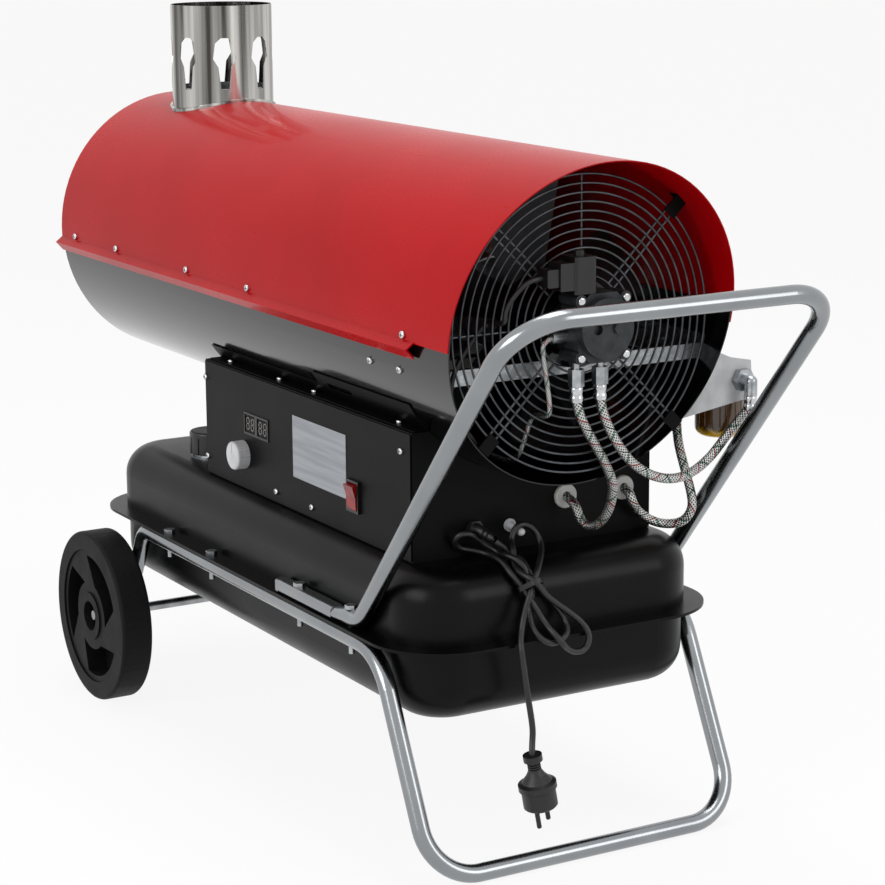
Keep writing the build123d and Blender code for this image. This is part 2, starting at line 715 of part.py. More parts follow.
# Fan
def fan_blade():
    """One pitched blade, standing up from the hub."""
    pitch = math.radians(FAN_PITCH_DEG)
    chord = (math.sin(pitch), math.cos(pitch), 0)
    root = Plane(origin=(0, 0, FAN_HUB_RADIUS - 8), x_dir=chord, z_dir=(0, 0, 1))
    tip = Plane(origin=(0, 0, FAN_RADIUS + 10), x_dir=chord, z_dir=(0, 0, 1))
    return loft([root * Rectangle(FAN_ROOT_WIDTH, FAN_BLADE_THICK),
                 tip * Rectangle(FAN_TIP_WIDTH, FAN_BLADE_THICK)])


blade = fan_blade()
blades = Part()
for step in range(FAN_BLADES):
    blades += blade.rotate(Axis.X, step * 360 / FAN_BLADES)
fan_keep = rod(FAN_RADIUS, FAN_TIP_WIDTH, (-FAN_TIP_WIDTH / 2, 0, 0), (1, 0, 0))
fan_hub = rod(FAN_HUB_RADIUS, FAN_HUB_LENGTH, (-FAN_HUB_LENGTH / 2, 0, 0), (1, 0, 0))
fan = (blades & fan_keep) + fan_hub
fan -= rod(SHAFT_D / 2, FAN_TIP_WIDTH, (-FAN_TIP_WIDTH / 2, 0, 0), (1, 0, 0))
save(fan.moved(Location((FAN_STATION, 0, DRUM_AXIS_Z))), "fan")

# Motor, shaft, coupling and their bracket
foot_bottom = BRACKET_TOP_Z
motor = rod_x(MOTOR_RADIUS, MOTOR_START + MOTOR_BELL_DEPTH, MOTOR_END)
motor += rod_x(MOTOR_BELL_RADIUS, MOTOR_START, MOTOR_END)
motor += block(BRACKET_END - MOTOR_FOOT_LENGTH - 4, BRACKET_END - 4, -MOTOR_FOOT_WIDTH / 2,
               MOTOR_FOOT_WIDTH / 2, foot_bottom, DRUM_AXIS_Z - MOTOR_RADIUS / 2)
motor -= rod_x(SHAFT_D / 2 + SHAFT_FIT_GAP, MOTOR_START - 1, MOTOR_END + 1)
save(motor, "motor_body")
save(rod_x(SHAFT_D / 2, SHAFT_START, MOTOR_END + 1), "motor_shaft")
save(rod_x(COUPLING_RADIUS, MOTOR_END + 1, MOTOR_END + 1 + COUPLING_LENGTH), "pump_coupling")

tab_outer = LOWER_INNER_RADIUS - HOLE_GAP
bracket = block(BRACKET_START, BRACKET_END, -BIG, BIG, BRACKET_TOP_Z - BRACKET_THICK, BRACKET_TOP_Z)
bracket &= rod_x(tab_outer, BRACKET_START, BRACKET_END)
lip = block(BRACKET_END - BRACKET_THICK, BRACKET_END, -BIG, BIG, BRACKET_TOP_Z - 1,
            BRACKET_TOP_Z + BRACKET_LIP)
lip -= rod_x(MOTOR_RADIUS + 1, BRACKET_START, MOTOR_END)
bracket += lip & rod_x(tab_outer, BRACKET_START, BRACKET_END)
tabs = ring_x(tab_outer, tab_outer - BRACKET_THICK, BRACKET_START, BRACKET_END)
bracket += tabs & block(BRACKET_START, BRACKET_END, -BIG, BIG, BRACKET_TOP_Z - BRACKET_THICK,
                        BRACKET_TOP_Z + BRACKET_TAB)
plate_reach = math.sqrt(tab_outer ** 2 - (DRUM_AXIS_Z - BRACKET_TOP_Z) ** 2) - BRACKET_SIDE_KEEP
bracket -= block(BRACKET_FAN_START, BRACKET_FAN_END, -plate_reach, plate_reach,
                 BRACKET_TOP_Z - 2 * BRACKET_THICK, BRACKET_TOP_Z + 1)
for hole in BRACKET_HOLES:
    bracket -= hole
save(bracket, "motor_bracket")

# Intake grille
grille_step = (GRILLE_RADIUS - GRILLE_INNER_RADIUS) / (GRILLE_RINGS - 1)
wire = GRILLE_WIRE_D / 2
grille_plane = Plane(origin=(GRILLE_STATION, 0, DRUM_AXIS_Z), x_dir=(0, 1, 0), z_dir=(1, 0, 0))
spoke_x = GRILLE_STATION - wire - GRILLE_SPOKE_D / 2 + 0.5
spoke_length = GRILLE_RADIUS - GRILLE_INNER_RADIUS + 2 * wire
grille = Part()
for step in range(GRILLE_RINGS):
    grille += grille_plane * Torus(GRILLE_INNER_RADIUS + step * grille_step, wire)
for angle in (45, 135, 225, 315):
    out_y, out_z = polar(1.0, angle, 0.0)
    for side in (-1, 1):
        shift = side * GRILLE_SPOKE_GAP / 2
        inner_y, inner_z = polar(GRILLE_INNER_RADIUS - wire, angle)
        start = (spoke_x, inner_y - shift * out_z, inner_z + shift * out_y)
        grille += rod(GRILLE_SPOKE_D / 2, spoke_length, start, (0, out_y, out_z))
for angle in (90, 180):
    out_y, out_z = polar(1.0, angle, 0.0)
    inner_y, inner_z = polar(GRILLE_INNER_RADIUS - wire, angle)
    grille += rod(wire, spoke_length, (spoke_x, inner_y, inner_z), (0, out_y, out_z))
save(grille, "intake_grille")


def grille_clip(angle):
    """A bent clip from the shell over the grille's outer ring."""
    reach = (SHELL_INNER_RADIUS if angle < 180 else LOWER_INNER_RADIUS) - HOLE_GAP
    face = GRILLE_STATION + wire
    half = GRILLE_CLIP_WIDTH / 2
    low = DRUM_AXIS_Z + GRILLE_RADIUS - 4
    high = DRUM_AXIS_Z + reach - 0.3
    clip = block(face, face + GRILLE_CLIP_THICK, -half, half, low, high)
    clip += block(face - GRILLE_CLIP_DEPTH, face + GRILLE_CLIP_THICK, -half, half,
                  high - GRILLE_CLIP_THICK, high)
    return clip.rotate(Axis((0, 0, DRUM_AXIS_Z), (1, 0, 0)), angle - 90)


save(group([grille_clip(angle) for angle in (45, 135, 225, 315)]), "grille_clips")


# Pump, its screws, its solenoid valve and the fittings below it
def pump_corner_places():
    """Centres of the four pump screws."""
    return [(y * PUMP_EAR_Y, PUMP_Z + z * PUMP_EAR_Z) for y in (-1, 1) for z in (-1, 1)]


pump_plane = Plane(origin=(PUMP_START, 0, PUMP_Z), x_dir=(0, 1, 0), z_dir=(1, 0, 0))
pump_outline = chamfer(Rectangle(PUMP_WIDTH, PUMP_HEIGHT).vertices(), PUMP_CORNER)
pump = extrude(pump_plane * pump_outline, PUMP_DEPTH)
for y, z in pump_corner_places():
    pump += rod_x(PUMP_EAR_RADIUS, PUMP_START, PUMP_END, y, z)
pump += rod_x(PUMP_COVER_RADIUS, PUMP_END - 1, PUMP_END + PUMP_COVER_DEPTH, 0, PUMP_Z)
pump += rod_x(PUMP_ADAPTER_RADIUS, MOTOR_END, PUMP_START + 1)
pump -= rod_x(PUMP_BORE_RADIUS, MOTOR_END - 1, PUMP_START)
pump -= rod_x(PUMP_PORT_RADIUS, PUMP_END + PUMP_COVER_DEPTH - PUMP_PORT_DEPTH,
              PUMP_END + PUMP_COVER_DEPTH + 1, -PUMP_PORT_Y, PUMP_Z)
pump += hex_x(2 * PUMP_PORT_RADIUS, PUMP_END + PUMP_COVER_DEPTH - 1,
              PUMP_END + PUMP_COVER_DEPTH + 3, PUMP_PORT_Y, PUMP_Z)
for y, z in pump_corner_places():
    pump -= rod_x(SCREW_SHANK_D / 2 + HOLE_GAP, PUMP_START + 4, PUMP_END + 1, y, z)
save(pump, "pump_body")
save(group([screw((PUMP_END, y, z), (1, 0, 0), PUMP_DEPTH - 6) for y, z in pump_corner_places()]),
     "pump_screws")

coil_x0 = COIL_STATION - COIL_DEPTH / 2
coil_x1 = COIL_STATION + COIL_DEPTH / 2
coil_top = COIL_BOTTOM_Z + COIL_HEIGHT
coil = block(coil_x0, coil_x1, COIL_Y - COIL_WIDTH / 2, COIL_Y + COIL_WIDTH / 2,
             COIL_BOTTOM_Z, coil_top)
coil = fillet(coil.edges().filter_by(Axis.Z), 3.0)
coil_side = COIL_Y - COIL_WIDTH / 2
coil += block(coil_x0 + 2, coil_x1 - 2, coil_side - COIL_SHELL_WIDTH, coil_side + 1,
              COIL_BOTTOM_Z + 4, COIL_BOTTOM_Z + 4 + COIL_SHELL_HEIGHT)
coil += rod(COIL_NUT_D / 2, COIL_NUT_H, (COIL_STATION, COIL_Y, coil_top), (0, 0, 1))
save(coil, "solenoid")
plug_y = coil_side - COIL_SHELL_WIDTH
plug_z = COIL_BOTTOM_Z + 8
solenoid_plug = block(coil_x0 + 4, coil_x0 + 4 + COIL_PLUG_DEPTH, plug_y - COIL_PLUG_WIDTH, plug_y,
                      plug_z, plug_z + COIL_PLUG_HEIGHT)
save(fillet(solenoid_plug.edges().filter_by(Axis.X), 2.0), "solenoid_plug")

fitting_start = PUMP_Z - PUMP_HEIGHT / 2
fittings = []
for y in FITTING_YS:
    nut = Plane(origin=(FITTING_STATION, y, fitting_start - FITTING_STEM - FITTING_LENGTH)) * \
        extrude(RegularPolygon(FITTING_HEX / 2, 6, major_radius=False), FITTING_LENGTH)
    nut += rod(FITTING_NIPPLE_D / 2, FITTING_STEM + 1,
               (FITTING_STATION, y, fitting_start - FITTING_STEM - 1), (0, 0, 1))
    nut -= rod(HOSE_D / 2 + HOLE_GAP, HOSE_SOCKET + 1,
               (FITTING_STATION, y, fitting_start - FITTING_STEM - FITTING_LENGTH - 1), (0, 0, 1))
    fittings.append(nut)
side_nut = rod(LINE_NUT_D / 2, LINE_NUT_LENGTH, (LINE_STATION, -PUMP_WIDTH / 2, LINE_Z), (0, -1, 0))
side_nut -= rod(LINE_D / 2 + HOLE_GAP, LINE_NUT_LENGTH,
                (LINE_STATION, -PUMP_WIDTH / 2 - LINE_NUT_LENGTH / 2, LINE_Z), (0, -1, 0))
fittings.append(side_nut)
save(group(fittings), "pump_fittings")

# Control box under the drum
drum_keep = rod_x(LOWER_OUTER_RADIUS + BOX_DRUM_GAP, BOX_START - 1, BOX_END + 1)
box = block(BOX_START, BOX_END, -BOX_HALF_WIDTH, BOX_HALF_WIDTH, BOX_BOTTOM_Z, BOX_TOP_Z)
box -= block(BOX_START + BOX_WALL, BOX_END - BOX_WALL, -BOX_HALF_WIDTH + BOX_WALL,
             BOX_HALF_WIDTH - BOX_WALL, BOX_BOTTOM_Z + BOX_WALL, BOX_TOP_Z - BOX_WALL)
box -= block(BOX_START + BOX_RETURN, BOX_END - BOX_RETURN, -BOX_HALF_WIDTH - 1,
             -BOX_HALF_WIDTH + BOX_WALL + 1, BOX_BOTTOM_Z + BOX_RETURN, BOX_TOP_Z - BOX_RETURN)
box -= drum_keep
for y in GROMMET_YS:
    box -= rod_x(GROMMET_NECK_D / 2 + HOLE_GAP, BOX_END - BOX_WALL - 1, BOX_END + 1, y, GROMMET_Z)
    box -= rod(HOSE_D / 2 + HOLE_GAP, 2 * BOX_WALL, (SPIGOT_STATION, y, BOX_BOTTOM_Z - 0.5), (0, 0, 1))
box -= rod_x(GLAND_NOSE_D / 2 + HOLE_GAP, BOX_END - BOX_WALL - 1, BOX_END + 1, GLAND_Y, GLAND_Z)
for hole in PANEL_HOLES + BOX_TOP_HOLES:
    box -= hole
save(box, "control_box")

# Saddle that joins the box to the drum, one strip on each side
saddle_inner = LOWER_OUTER_RADIUS + BOX_DRUM_GAP
saddle_start = BOX_START + SADDLE_INSET
saddle_end = BOX_END - SADDLE_INSET
saddle_band = ring_x(saddle_inner + SADDLE_WALL, saddle_inner, saddle_start, saddle_end)
low_band = block(saddle_start, saddle_end, 0, BIG, BOX_TOP_Z, SADDLE_TOP_Z)
tall_band = block(SADDLE_TAB_START, saddle_end, 0, BIG, BOX_TOP_Z, SADDLE_TAB_TOP_Z)
saddle = (saddle_band & low_band) + (saddle_band & tall_band)
saddle += block(saddle_start, saddle_end, SADDLE_Y - 13, SADDLE_LEDGE_Y, BOX_TOP_Z,
                BOX_TOP_Z + SADDLE_WALL) - rod_x(saddle_inner, saddle_start - 1, saddle_end + 1)
saddle -= block(SADDLE_SLOT_STATION - SADDLE_SLOT_LENGTH / 2,
                SADDLE_SLOT_STATION + SADDLE_SLOT_LENGTH / 2, 0, BIG,
                SADDLE_TOP_Z - SADDLE_SLOT_HEIGHT / 2, SADDLE_TOP_Z + SADDLE_SLOT_HEIGHT / 2)
near_saddle = mirror_y(saddle)
for hole in BOX_TOP_HOLES:
    saddle -= hole
    near_saddle -= hole
save(group([saddle, near_saddle]), "drum_saddle")

# Control panel with its fittings
panel_front = -BOX_HALF_WIDTH - PANEL_THICK
panel = block(BOX_START + PANEL_EDGE, BOX_END - PANEL_EDGE, panel_front, -BOX_HALF_WIDTH,
              BOX_BOTTOM_Z + PANEL_EDGE, BOX_TOP_Z - PANEL_EDGE)
panel -= block(DISPLAY_STATION - DISPLAY_WIDTH / 2 - HOLE_GAP,
               DISPLAY_STATION + DISPLAY_WIDTH / 2 + HOLE_GAP, panel_front - 1, 0,
               DISPLAY_Z - DISPLAY_HEIGHT / 2 - HOLE_GAP, DISPLAY_Z + DISPLAY_HEIGHT / 2 + HOLE_GAP)
panel -= rod(POT_SHAFT_D / 2 + 2 * HOLE_GAP, BOX_HALF_WIDTH, (KNOB_STATION, 0, KNOB_Z), (0, -1, 0))
panel -= rod(POT_SHAFT_D / 2 + 2 * HOLE_GAP, 10, (KNOB_STATION, panel_front + 5, KNOB_Z), (0, -1, 0))
panel -= block(SWITCH_STATION - SWITCH_WIDTH / 2 + SWITCH_LEDGE,
               SWITCH_STATION + SWITCH_WIDTH / 2 - SWITCH_LEDGE, panel_front - 1, 0,
               SWITCH_Z - SWITCH_HEIGHT / 2 + SWITCH_LEDGE, SWITCH_Z + SWITCH_HEIGHT / 2 - SWITCH_LEDGE)
for hole in PANEL_HOLES:
    panel -= hole
save(panel, "control_panel")
screws = [screw(point, out, PANEL_GRIP - 1, PANEL_SCREW_D)
          for point, out in panel_points() + box_top_points()]
save(group(screws), "panel_screws")

display = block(DISPLAY_STATION - DISPLAY_WIDTH / 2, DISPLAY_STATION + DISPLAY_WIDTH / 2,
                panel_front - DISPLAY_PROUD, -BOX_HALF_WIDTH + DISPLAY_BODY_DEPTH,
                DISPLAY_Z - DISPLAY_HEIGHT / 2, DISPLAY_Z + DISPLAY_HEIGHT / 2)
for side in (-1, 1):
    centre = DISPLAY_STATION + side * (DISPLAY_WIDTH / 4 + 0.5)
    half = DISPLAY_WIDTH / 4 - DISPLAY_FRAME
    display -= block(centre - half, centre + half, panel_front - DISPLAY_PROUD - 1,
                     panel_front - DISPLAY_PROUD + DISPLAY_SINK,
                     DISPLAY_Z - DISPLAY_HEIGHT / 2 + DISPLAY_FRAME,
                     DISPLAY_Z + DISPLAY_HEIGHT / 2 - DISPLAY_FRAME)
save(display, "display")

knob_back = panel_front - KNOB_FACE_GAP
knob = rod(KNOB_D / 2, KNOB_LENGTH, (0, 0, 0), (0, -1, 0))
front_edge = knob.edges().filter_by(GeomType.CIRCLE).sort_by(Axis.Y)[0]
knob = fillet(front_edge, 2.5)
rib_cut = rod(KNOB_RIB_DEPTH, KNOB_LENGTH - 4, (KNOB_D / 2, 0.5, 0), (0, -1, 0))
for step in range(KNOB_RIBS):
    knob -= rib_cut.rotate(Axis.Y, step * 360 / KNOB_RIBS)
knob -= block(-0.6, 0.6, -KNOB_LENGTH - 1, -KNOB_LENGTH + 0.8, 3, KNOB_D / 2 - 2)
pot_front = -BOX_HALF_WIDTH + BOX_WALL
knob += rod(POT_SHAFT_D / 2, pot_front + POT_SHAFT_LENGTH - knob_back, (0, 0.0, 0), (0, 1, 0))
save(knob.moved(Location((KNOB_STATION, knob_back, KNOB_Z))), "thermostat_knob")

board_y = pot_front + POT_DEPTH
board = block(BOARD_STATION - BOARD_SIZE[0] / 2, BOARD_STATION + BOARD_SIZE[0] / 2, board_y,
              board_y + BOARD_THICK, BOARD_Z - BOARD_SIZE[1] / 2, BOARD_Z + BOARD_SIZE[1] / 2)
board += rod(POT_D / 2, POT_DEPTH + 0.5, (KNOB_STATION, pot_front, KNOB_Z), (0, 1, 0))
board -= rod(POT_SHAFT_D / 2 + HOLE_GAP / 2, POT_SHAFT_LENGTH + 1, (KNOB_STATION, pot_front - 1, KNOB_Z),
             (0, 1, 0))
display_back = -BOX_HALF_WIDTH + DISPLAY_BODY_DEPTH
board += block(DISPLAY_STATION - 20, DISPLAY_STATION + 20, display_back, board_y + 0.5,
               DISPLAY_Z - 6, DISPLAY_Z + 6)
for x, z in BOARD_BLOCKS:
    board += block(BOARD_STATION + x, BOARD_STATION + x + 16, board_y + 1, board_y + 14,
                   BOARD_Z + z, BOARD_Z + z + 16)
save(board, "circuit_board")

size_x, size_y, size_z = TRANSFORMER_SIZE
transformer_floor = BOX_BOTTOM_Z + BOX_WALL
transformer = block(TRANSFORMER_STATION - size_x / 2, TRANSFORMER_STATION + size_x / 2,
                    -size_y / 2, size_y / 2, transformer_floor, transformer_floor + size_z)
transformer = fillet(transformer.edges().filter_by(Axis.Z), 6.0)
transformer += block(TRANSFORMER_STATION - size_x / 2 - 12, TRANSFORMER_STATION + size_x / 2 + 12,
                     -size_y / 3, size_y / 3, transformer_floor, transformer_floor + 4)
save(transformer, "ignition_transformer")

save(block(PLATE_STATION - PLATE_WIDTH / 2, PLATE_STATION + PLATE_WIDTH / 2,
           panel_front - PLATE_THICK, panel_front, PLATE_Z - PLATE_HEIGHT / 2,
           PLATE_Z + PLATE_HEIGHT / 2), "rating_plate")


def switch_block(inset, back, front):
    """A box centred on the switch, smaller than its bezel by inset all round."""
    return block(SWITCH_STATION - SWITCH_WIDTH / 2 + inset, SWITCH_STATION + SWITCH_WIDTH / 2 - inset,
                 front, back, SWITCH_Z - SWITCH_HEIGHT / 2 + inset, SWITCH_Z + SWITCH_HEIGHT / 2 - inset)


bezel = switch_block(0, panel_front, panel_front - SWITCH_BEZEL_PROUD)
bezel += switch_block(SWITCH_LEDGE + HOLE_GAP, panel_front + SWITCH_BODY_DEPTH, panel_front - 1)
bezel -= switch_block(SWITCH_BEZEL_WALL, panel_front + SWITCH_BODY_DEPTH - SWITCH_BEZEL_WALL,
                      panel_front - SWITCH_BEZEL_PROUD - 1)
save(bezel, "switch_bezel")

rocker_half = SWITCH_HEIGHT / 2 - SWITCH_BEZEL_WALL - ROCKER_END_GAP
rocker_outline = Polyline((-ROCKER_FRONT, rocker_half), (-ROCKER_FRONT + 1.5, 0),
                          (-ROCKER_FRONT, -rocker_half), (ROCKER_BACK, -rocker_half),
                          (ROCKER_BACK, rocker_half), close=True)
rocker_width = SWITCH_WIDTH - 2 * SWITCH_BEZEL_WALL - 2 * ROCKER_GAP
rocker = extrude(make_face(Plane.YZ * rocker_outline), rocker_width / 2, both=True)
rocker = rocker.rotate(Axis.X, ROCKER_TILT_DEG)
save(rocker.moved(Location((SWITCH_STATION, panel_front - 1, SWITCH_Z))), "rocker_switch")

# Rear face: grommets, gland and hook
grommets = []
for y in GROMMET_YS:
    ring = rod_x(GROMMET_D / 2, BOX_END, BOX_END + GROMMET_PROUD, y, GROMMET_Z)
    ring = fillet(ring.edges().filter_by(GeomType.CIRCLE).sort_by(Axis.X)[-1], 1.8)
    ring += rod_x(GROMMET_NECK_D / 2, BOX_END - BOX_WALL, BOX_END + 1, y, GROMMET_Z)
    ring += rod_x(GROMMET_D / 2, BOX_END - BOX_WALL - 2, BOX_END - BOX_WALL, y, GROMMET_Z)
    grommets.append(ring - rod_x(GROMMET_BORE_D / 2, BOX_END - 10, BOX_END + 10, y, GROMMET_Z))
save(group(grommets), "hose_grommets")

nose_start = BOX_END + GLAND_NUT_LENGTH
gland = hex_x(GLAND_D, BOX_END, nose_start, GLAND_Y, GLAND_Z)
nose = Plane(origin=(nose_start - 0.5, GLAND_Y, GLAND_Z), z_dir=(1, 0, 0))
nose_end = Plane(origin=(nose_start + GLAND_NOSE_LENGTH, GLAND_Y, GLAND_Z), z_dir=(1, 0, 0))
gland += loft([nose * Circle(GLAND_D / 2 - 1), nose_end * Circle(GLAND_NOSE_D / 2 - 1)])
gland += rod_x(GLAND_NOSE_D / 2, BOX_END - GLAND_THREAD, BOX_END + 1, GLAND_Y, GLAND_Z)
gland += ring_x(GLAND_D / 2, GLAND_NOSE_D / 2 - 1, BOX_END - BOX_WALL - 4, BOX_END - BOX_WALL,
                GLAND_Y, GLAND_Z)
gland -= rod_x(CORD_D / 2 + HOLE_GAP, BOX_END - 20, BOX_END + 40, GLAND_Y, GLAND_Z)
save(gland, "cord_gland")

hook_root = Plane(origin=(BOX_END, HOOK_Y, HOOK_Z), z_dir=(1, 0, 0))
hook_neck = Plane(origin=(BOX_END + HOOK_LENGTH * 0.6, HOOK_Y, HOOK_Z - 1), z_dir=(1, 0, 0))
hook = rod_x(HOOK_BASE_D / 2, BOX_END, BOX_END + 2, HOOK_Y, HOOK_Z)
hook += loft([hook_root * Circle(HOOK_BASE_D / 2 - 2), hook_neck * Circle(HOOK_TIP_D / 2)])
hook += rod(HOOK_TIP_D / 2, HOOK_LENGTH * 0.4, (BOX_END + HOOK_LENGTH * 0.6 - 0.5, HOOK_Y, HOOK_Z - 1),
            (1, 0, -0.2))
hook += Pos(BOX_END + HOOK_LENGTH, HOOK_Y, HOOK_Z - 2.5) * Sphere(HOOK_BALL_D / 2)
save(hook, "cord_hook")


# Fuel tank in two pressed halves
def tank_profile(inset):
    """The tank's outline seen from above, smaller by inset all round."""
    length = TANK_END - TANK_START - 2 * inset
    width = 2 * TANK_HALF_WIDTH - 2 * inset
    return Pos((TANK_START + TANK_END) / 2, 0) * RectangleRounded(length, width, TANK_CORNER - inset)


def tank_half(inset, end_z, edge_round):
    """A solid pressing from the seam to end_z with its far edge rounded."""
    height = end_z - TANK_SEAM_Z
    solid = extrude(Pos(0, 0, TANK_SEAM_Z) * tank_profile(inset), height)
    far_edges = solid.edges().group_by(Axis.Z)[-1 if height > 0 else 0]
    return fillet(far_edges, edge_round)


def tank_flange(bottom, top):
    """The flat rim of one tank half."""
    return extrude(Pos(0, 0, bottom) * tank_profile(-TANK_FLANGE), top - bottom)


def frame_bolt_places():
    """Station, side and head level of every frame bolt."""
    flat = [(station, FLANGE_TOP_Z) for station in FAR_BOLT_STATIONS]
    arms = [(ARM_BOLT_STATIONS[0], FLANGE_TOP_Z + ARM_FLAT_HEIGHT),
            (ARM_BOLT_STATIONS[1], FLANGE_TOP_Z + TUBE_D)]
    return [(station, side * TUBE_Y, head) for side in (-1, 1) for station, head in flat + arms]


BOLT_BOTTOM_Z = LOWER_TUBE_Z - TUBE_D / 2 - BOLT_TAIL
BOLT_HOLES = [rod(BOLT_D / 2 + BOLT_HOLE_GAP, head - BOLT_BOTTOM_Z + 2, (station, y, BOLT_BOTTOM_Z - 1),
                  (0, 0, 1)) for station, y, head in frame_bolt_places()]

filler = Location((FILLER_STATION, FILLER_Y, 0))
tank_upper = tank_half(0, TANK_TOP_Z, TANK_TOP_ROUND)
tank_upper += tank_flange(TANK_SEAM_Z, FLANGE_TOP_Z)
tank_upper -= tank_half(TANK_WALL, TANK_TOP_Z - TANK_WALL, TANK_TOP_ROUND - TANK_WALL)
tank_upper -= rod(FILLER_NECK_D / 2 + HOLE_GAP, BIG, (FILLER_STATION, FILLER_Y, TANK_SEAM_Z + 20),
                  (0, 0, 1))
for y in GROMMET_YS:
    tank_upper += rod(SPIGOT_D / 2, SPIGOT_TOP - TANK_TOP_Z + 1, (SPIGOT_STATION, y, TANK_TOP_Z - 1),
                      (0, 0, 1))
for hole in BOLT_HOLES:
    tank_upper -= hole
save(tank_upper, "tank_upper")
tank_lower = tank_half(TANK_LOWER_INSET, TANK_BOTTOM_Z, TANK_BOTTOM_ROUND)
tank_lower += tank_flange(FLANGE_BOTTOM_Z, TANK_SEAM_Z)
tank_lower -= tank_half(TANK_LOWER_INSET + TANK_WALL, TANK_BOTTOM_Z + TANK_WALL,
                        TANK_BOTTOM_ROUND - TANK_WALL)
for hole in BOLT_HOLES:
    tank_lower -= hole
save(tank_lower, "tank_lower")

neck_bottom = TANK_TOP_Z - FILLER_NECK_DEPTH
neck = ring_z(FILLER_NECK_D / 2, FILLER_NECK_D / 2 - FILLER_NECK_WALL, 0, 0, neck_bottom,
              FILLER_NECK_TOP_Z)
neck += ring_z(FILLER_NECK_D / 2 + 3, FILLER_NECK_D / 2 - 1, 0, 0, TANK_TOP_Z, TANK_TOP_Z + 1.5)
save(neck.moved(filler), "filler_neck")
cap = rod(CAP_D / 2, CAP_TOP_Z - CAP_BOTTOM_Z, (0, 0, CAP_BOTTOM_Z), (0, 0, 1))
cap = fillet(cap.edges().filter_by(GeomType.CIRCLE).sort_by(Axis.Z)[-1], 3.0)
cap -= rod(FILLER_NECK_D / 2 + CAP_NECK_GAP, FILLER_NECK_TOP_Z + CAP_NECK_GAP - CAP_BOTTOM_Z,
           (0, 0, CAP_BOTTOM_Z - CAP_NECK_GAP), (0, 0, 1))
cap_rib = rod(CAP_RIB_DEPTH, CAP_TOP_Z - CAP_BOTTOM_Z - 5, (CAP_D / 2, 0, CAP_BOTTOM_Z - 1), (0, 0, 1))
for step in range(CAP_RIBS):
    cap -= cap_rib.rotate(Axis.Z, step * 360 / CAP_RIBS)
save(cap.moved(filler), "filler_cap")

# Lower frame: one bent tube whose flattened ends carry the axle
leg_rise = math.hypot(AXLE_BEND_STATION - AXLE_STATION, LOWER_TUBE_Z - WHEEL_RADIUS)
strut = ((AXLE_BEND_STATION - AXLE_STATION) / leg_rise, 0, (LOWER_TUBE_Z - WHEEL_RADIUS) / leg_rise)


def along_strut(distance, side):
    """A point up the strut from the axle."""
    return (AXLE_STATION + strut[0] * distance, side * TUBE_Y, WHEEL_RADIUS + strut[2] * distance)


def paddle(side):
    """The flattened end of the frame tube, blended into the round tube."""
    low = along_strut(0, side)
    plane = Plane(origin=low, x_dir=strut, z_dir=(0, 1, 0))
    flat = plane * (Pos(PADDLE_LENGTH / 2, 0) * Rectangle(PADDLE_LENGTH, PADDLE_WIDTH)
                    + Circle(PADDLE_WIDTH / 2))
    solid = extrude(flat, PADDLE_THICK / 2, both=True)
    start = Plane(origin=along_strut(PADDLE_LENGTH - 1, side), x_dir=(0, 1, 0), z_dir=strut)
    end = Plane(origin=along_strut(PADDLE_LENGTH + PADDLE_BLEND, side), x_dir=(0, 1, 0), z_dir=strut)
    solid += loft([start * Ellipse(PADDLE_THICK / 2, PADDLE_WIDTH / 2), end * Circle(TUBE_D / 2)])
    return solid


tube_start = PADDLE_LENGTH + PADDLE_BLEND
frame_points = [along_strut(tube_start, -1), (AXLE_BEND_STATION, -TUBE_Y, LOWER_TUBE_Z),
                (LEG_TOP_STATION, -TUBE_Y, LOWER_TUBE_Z), (FOOT_STATION, -TUBE_Y, TUBE_D / 2)]
frame_points += [(x, -y, z) for x, y, z in reversed(frame_points)]
bends = [AXLE_BEND_R, LEG_BEND_R, FOOT_BEND_R]
lower_frame = bent_tube(frame_points, bends + bends[::-1], TUBE_D, TUBE_WALL)
for side in (-1, 1):
    lower_frame += paddle(side)
lower_frame -= rod(AXLE_D / 2 + AXLE_FIT_GAP, BIG, (AXLE_STATION, -BIG / 2, WHEEL_RADIUS), (0, 1, 0))
for hole in BOLT_HOLES:
    lower_frame -= hole
save(lower_frame, "lower_frame")

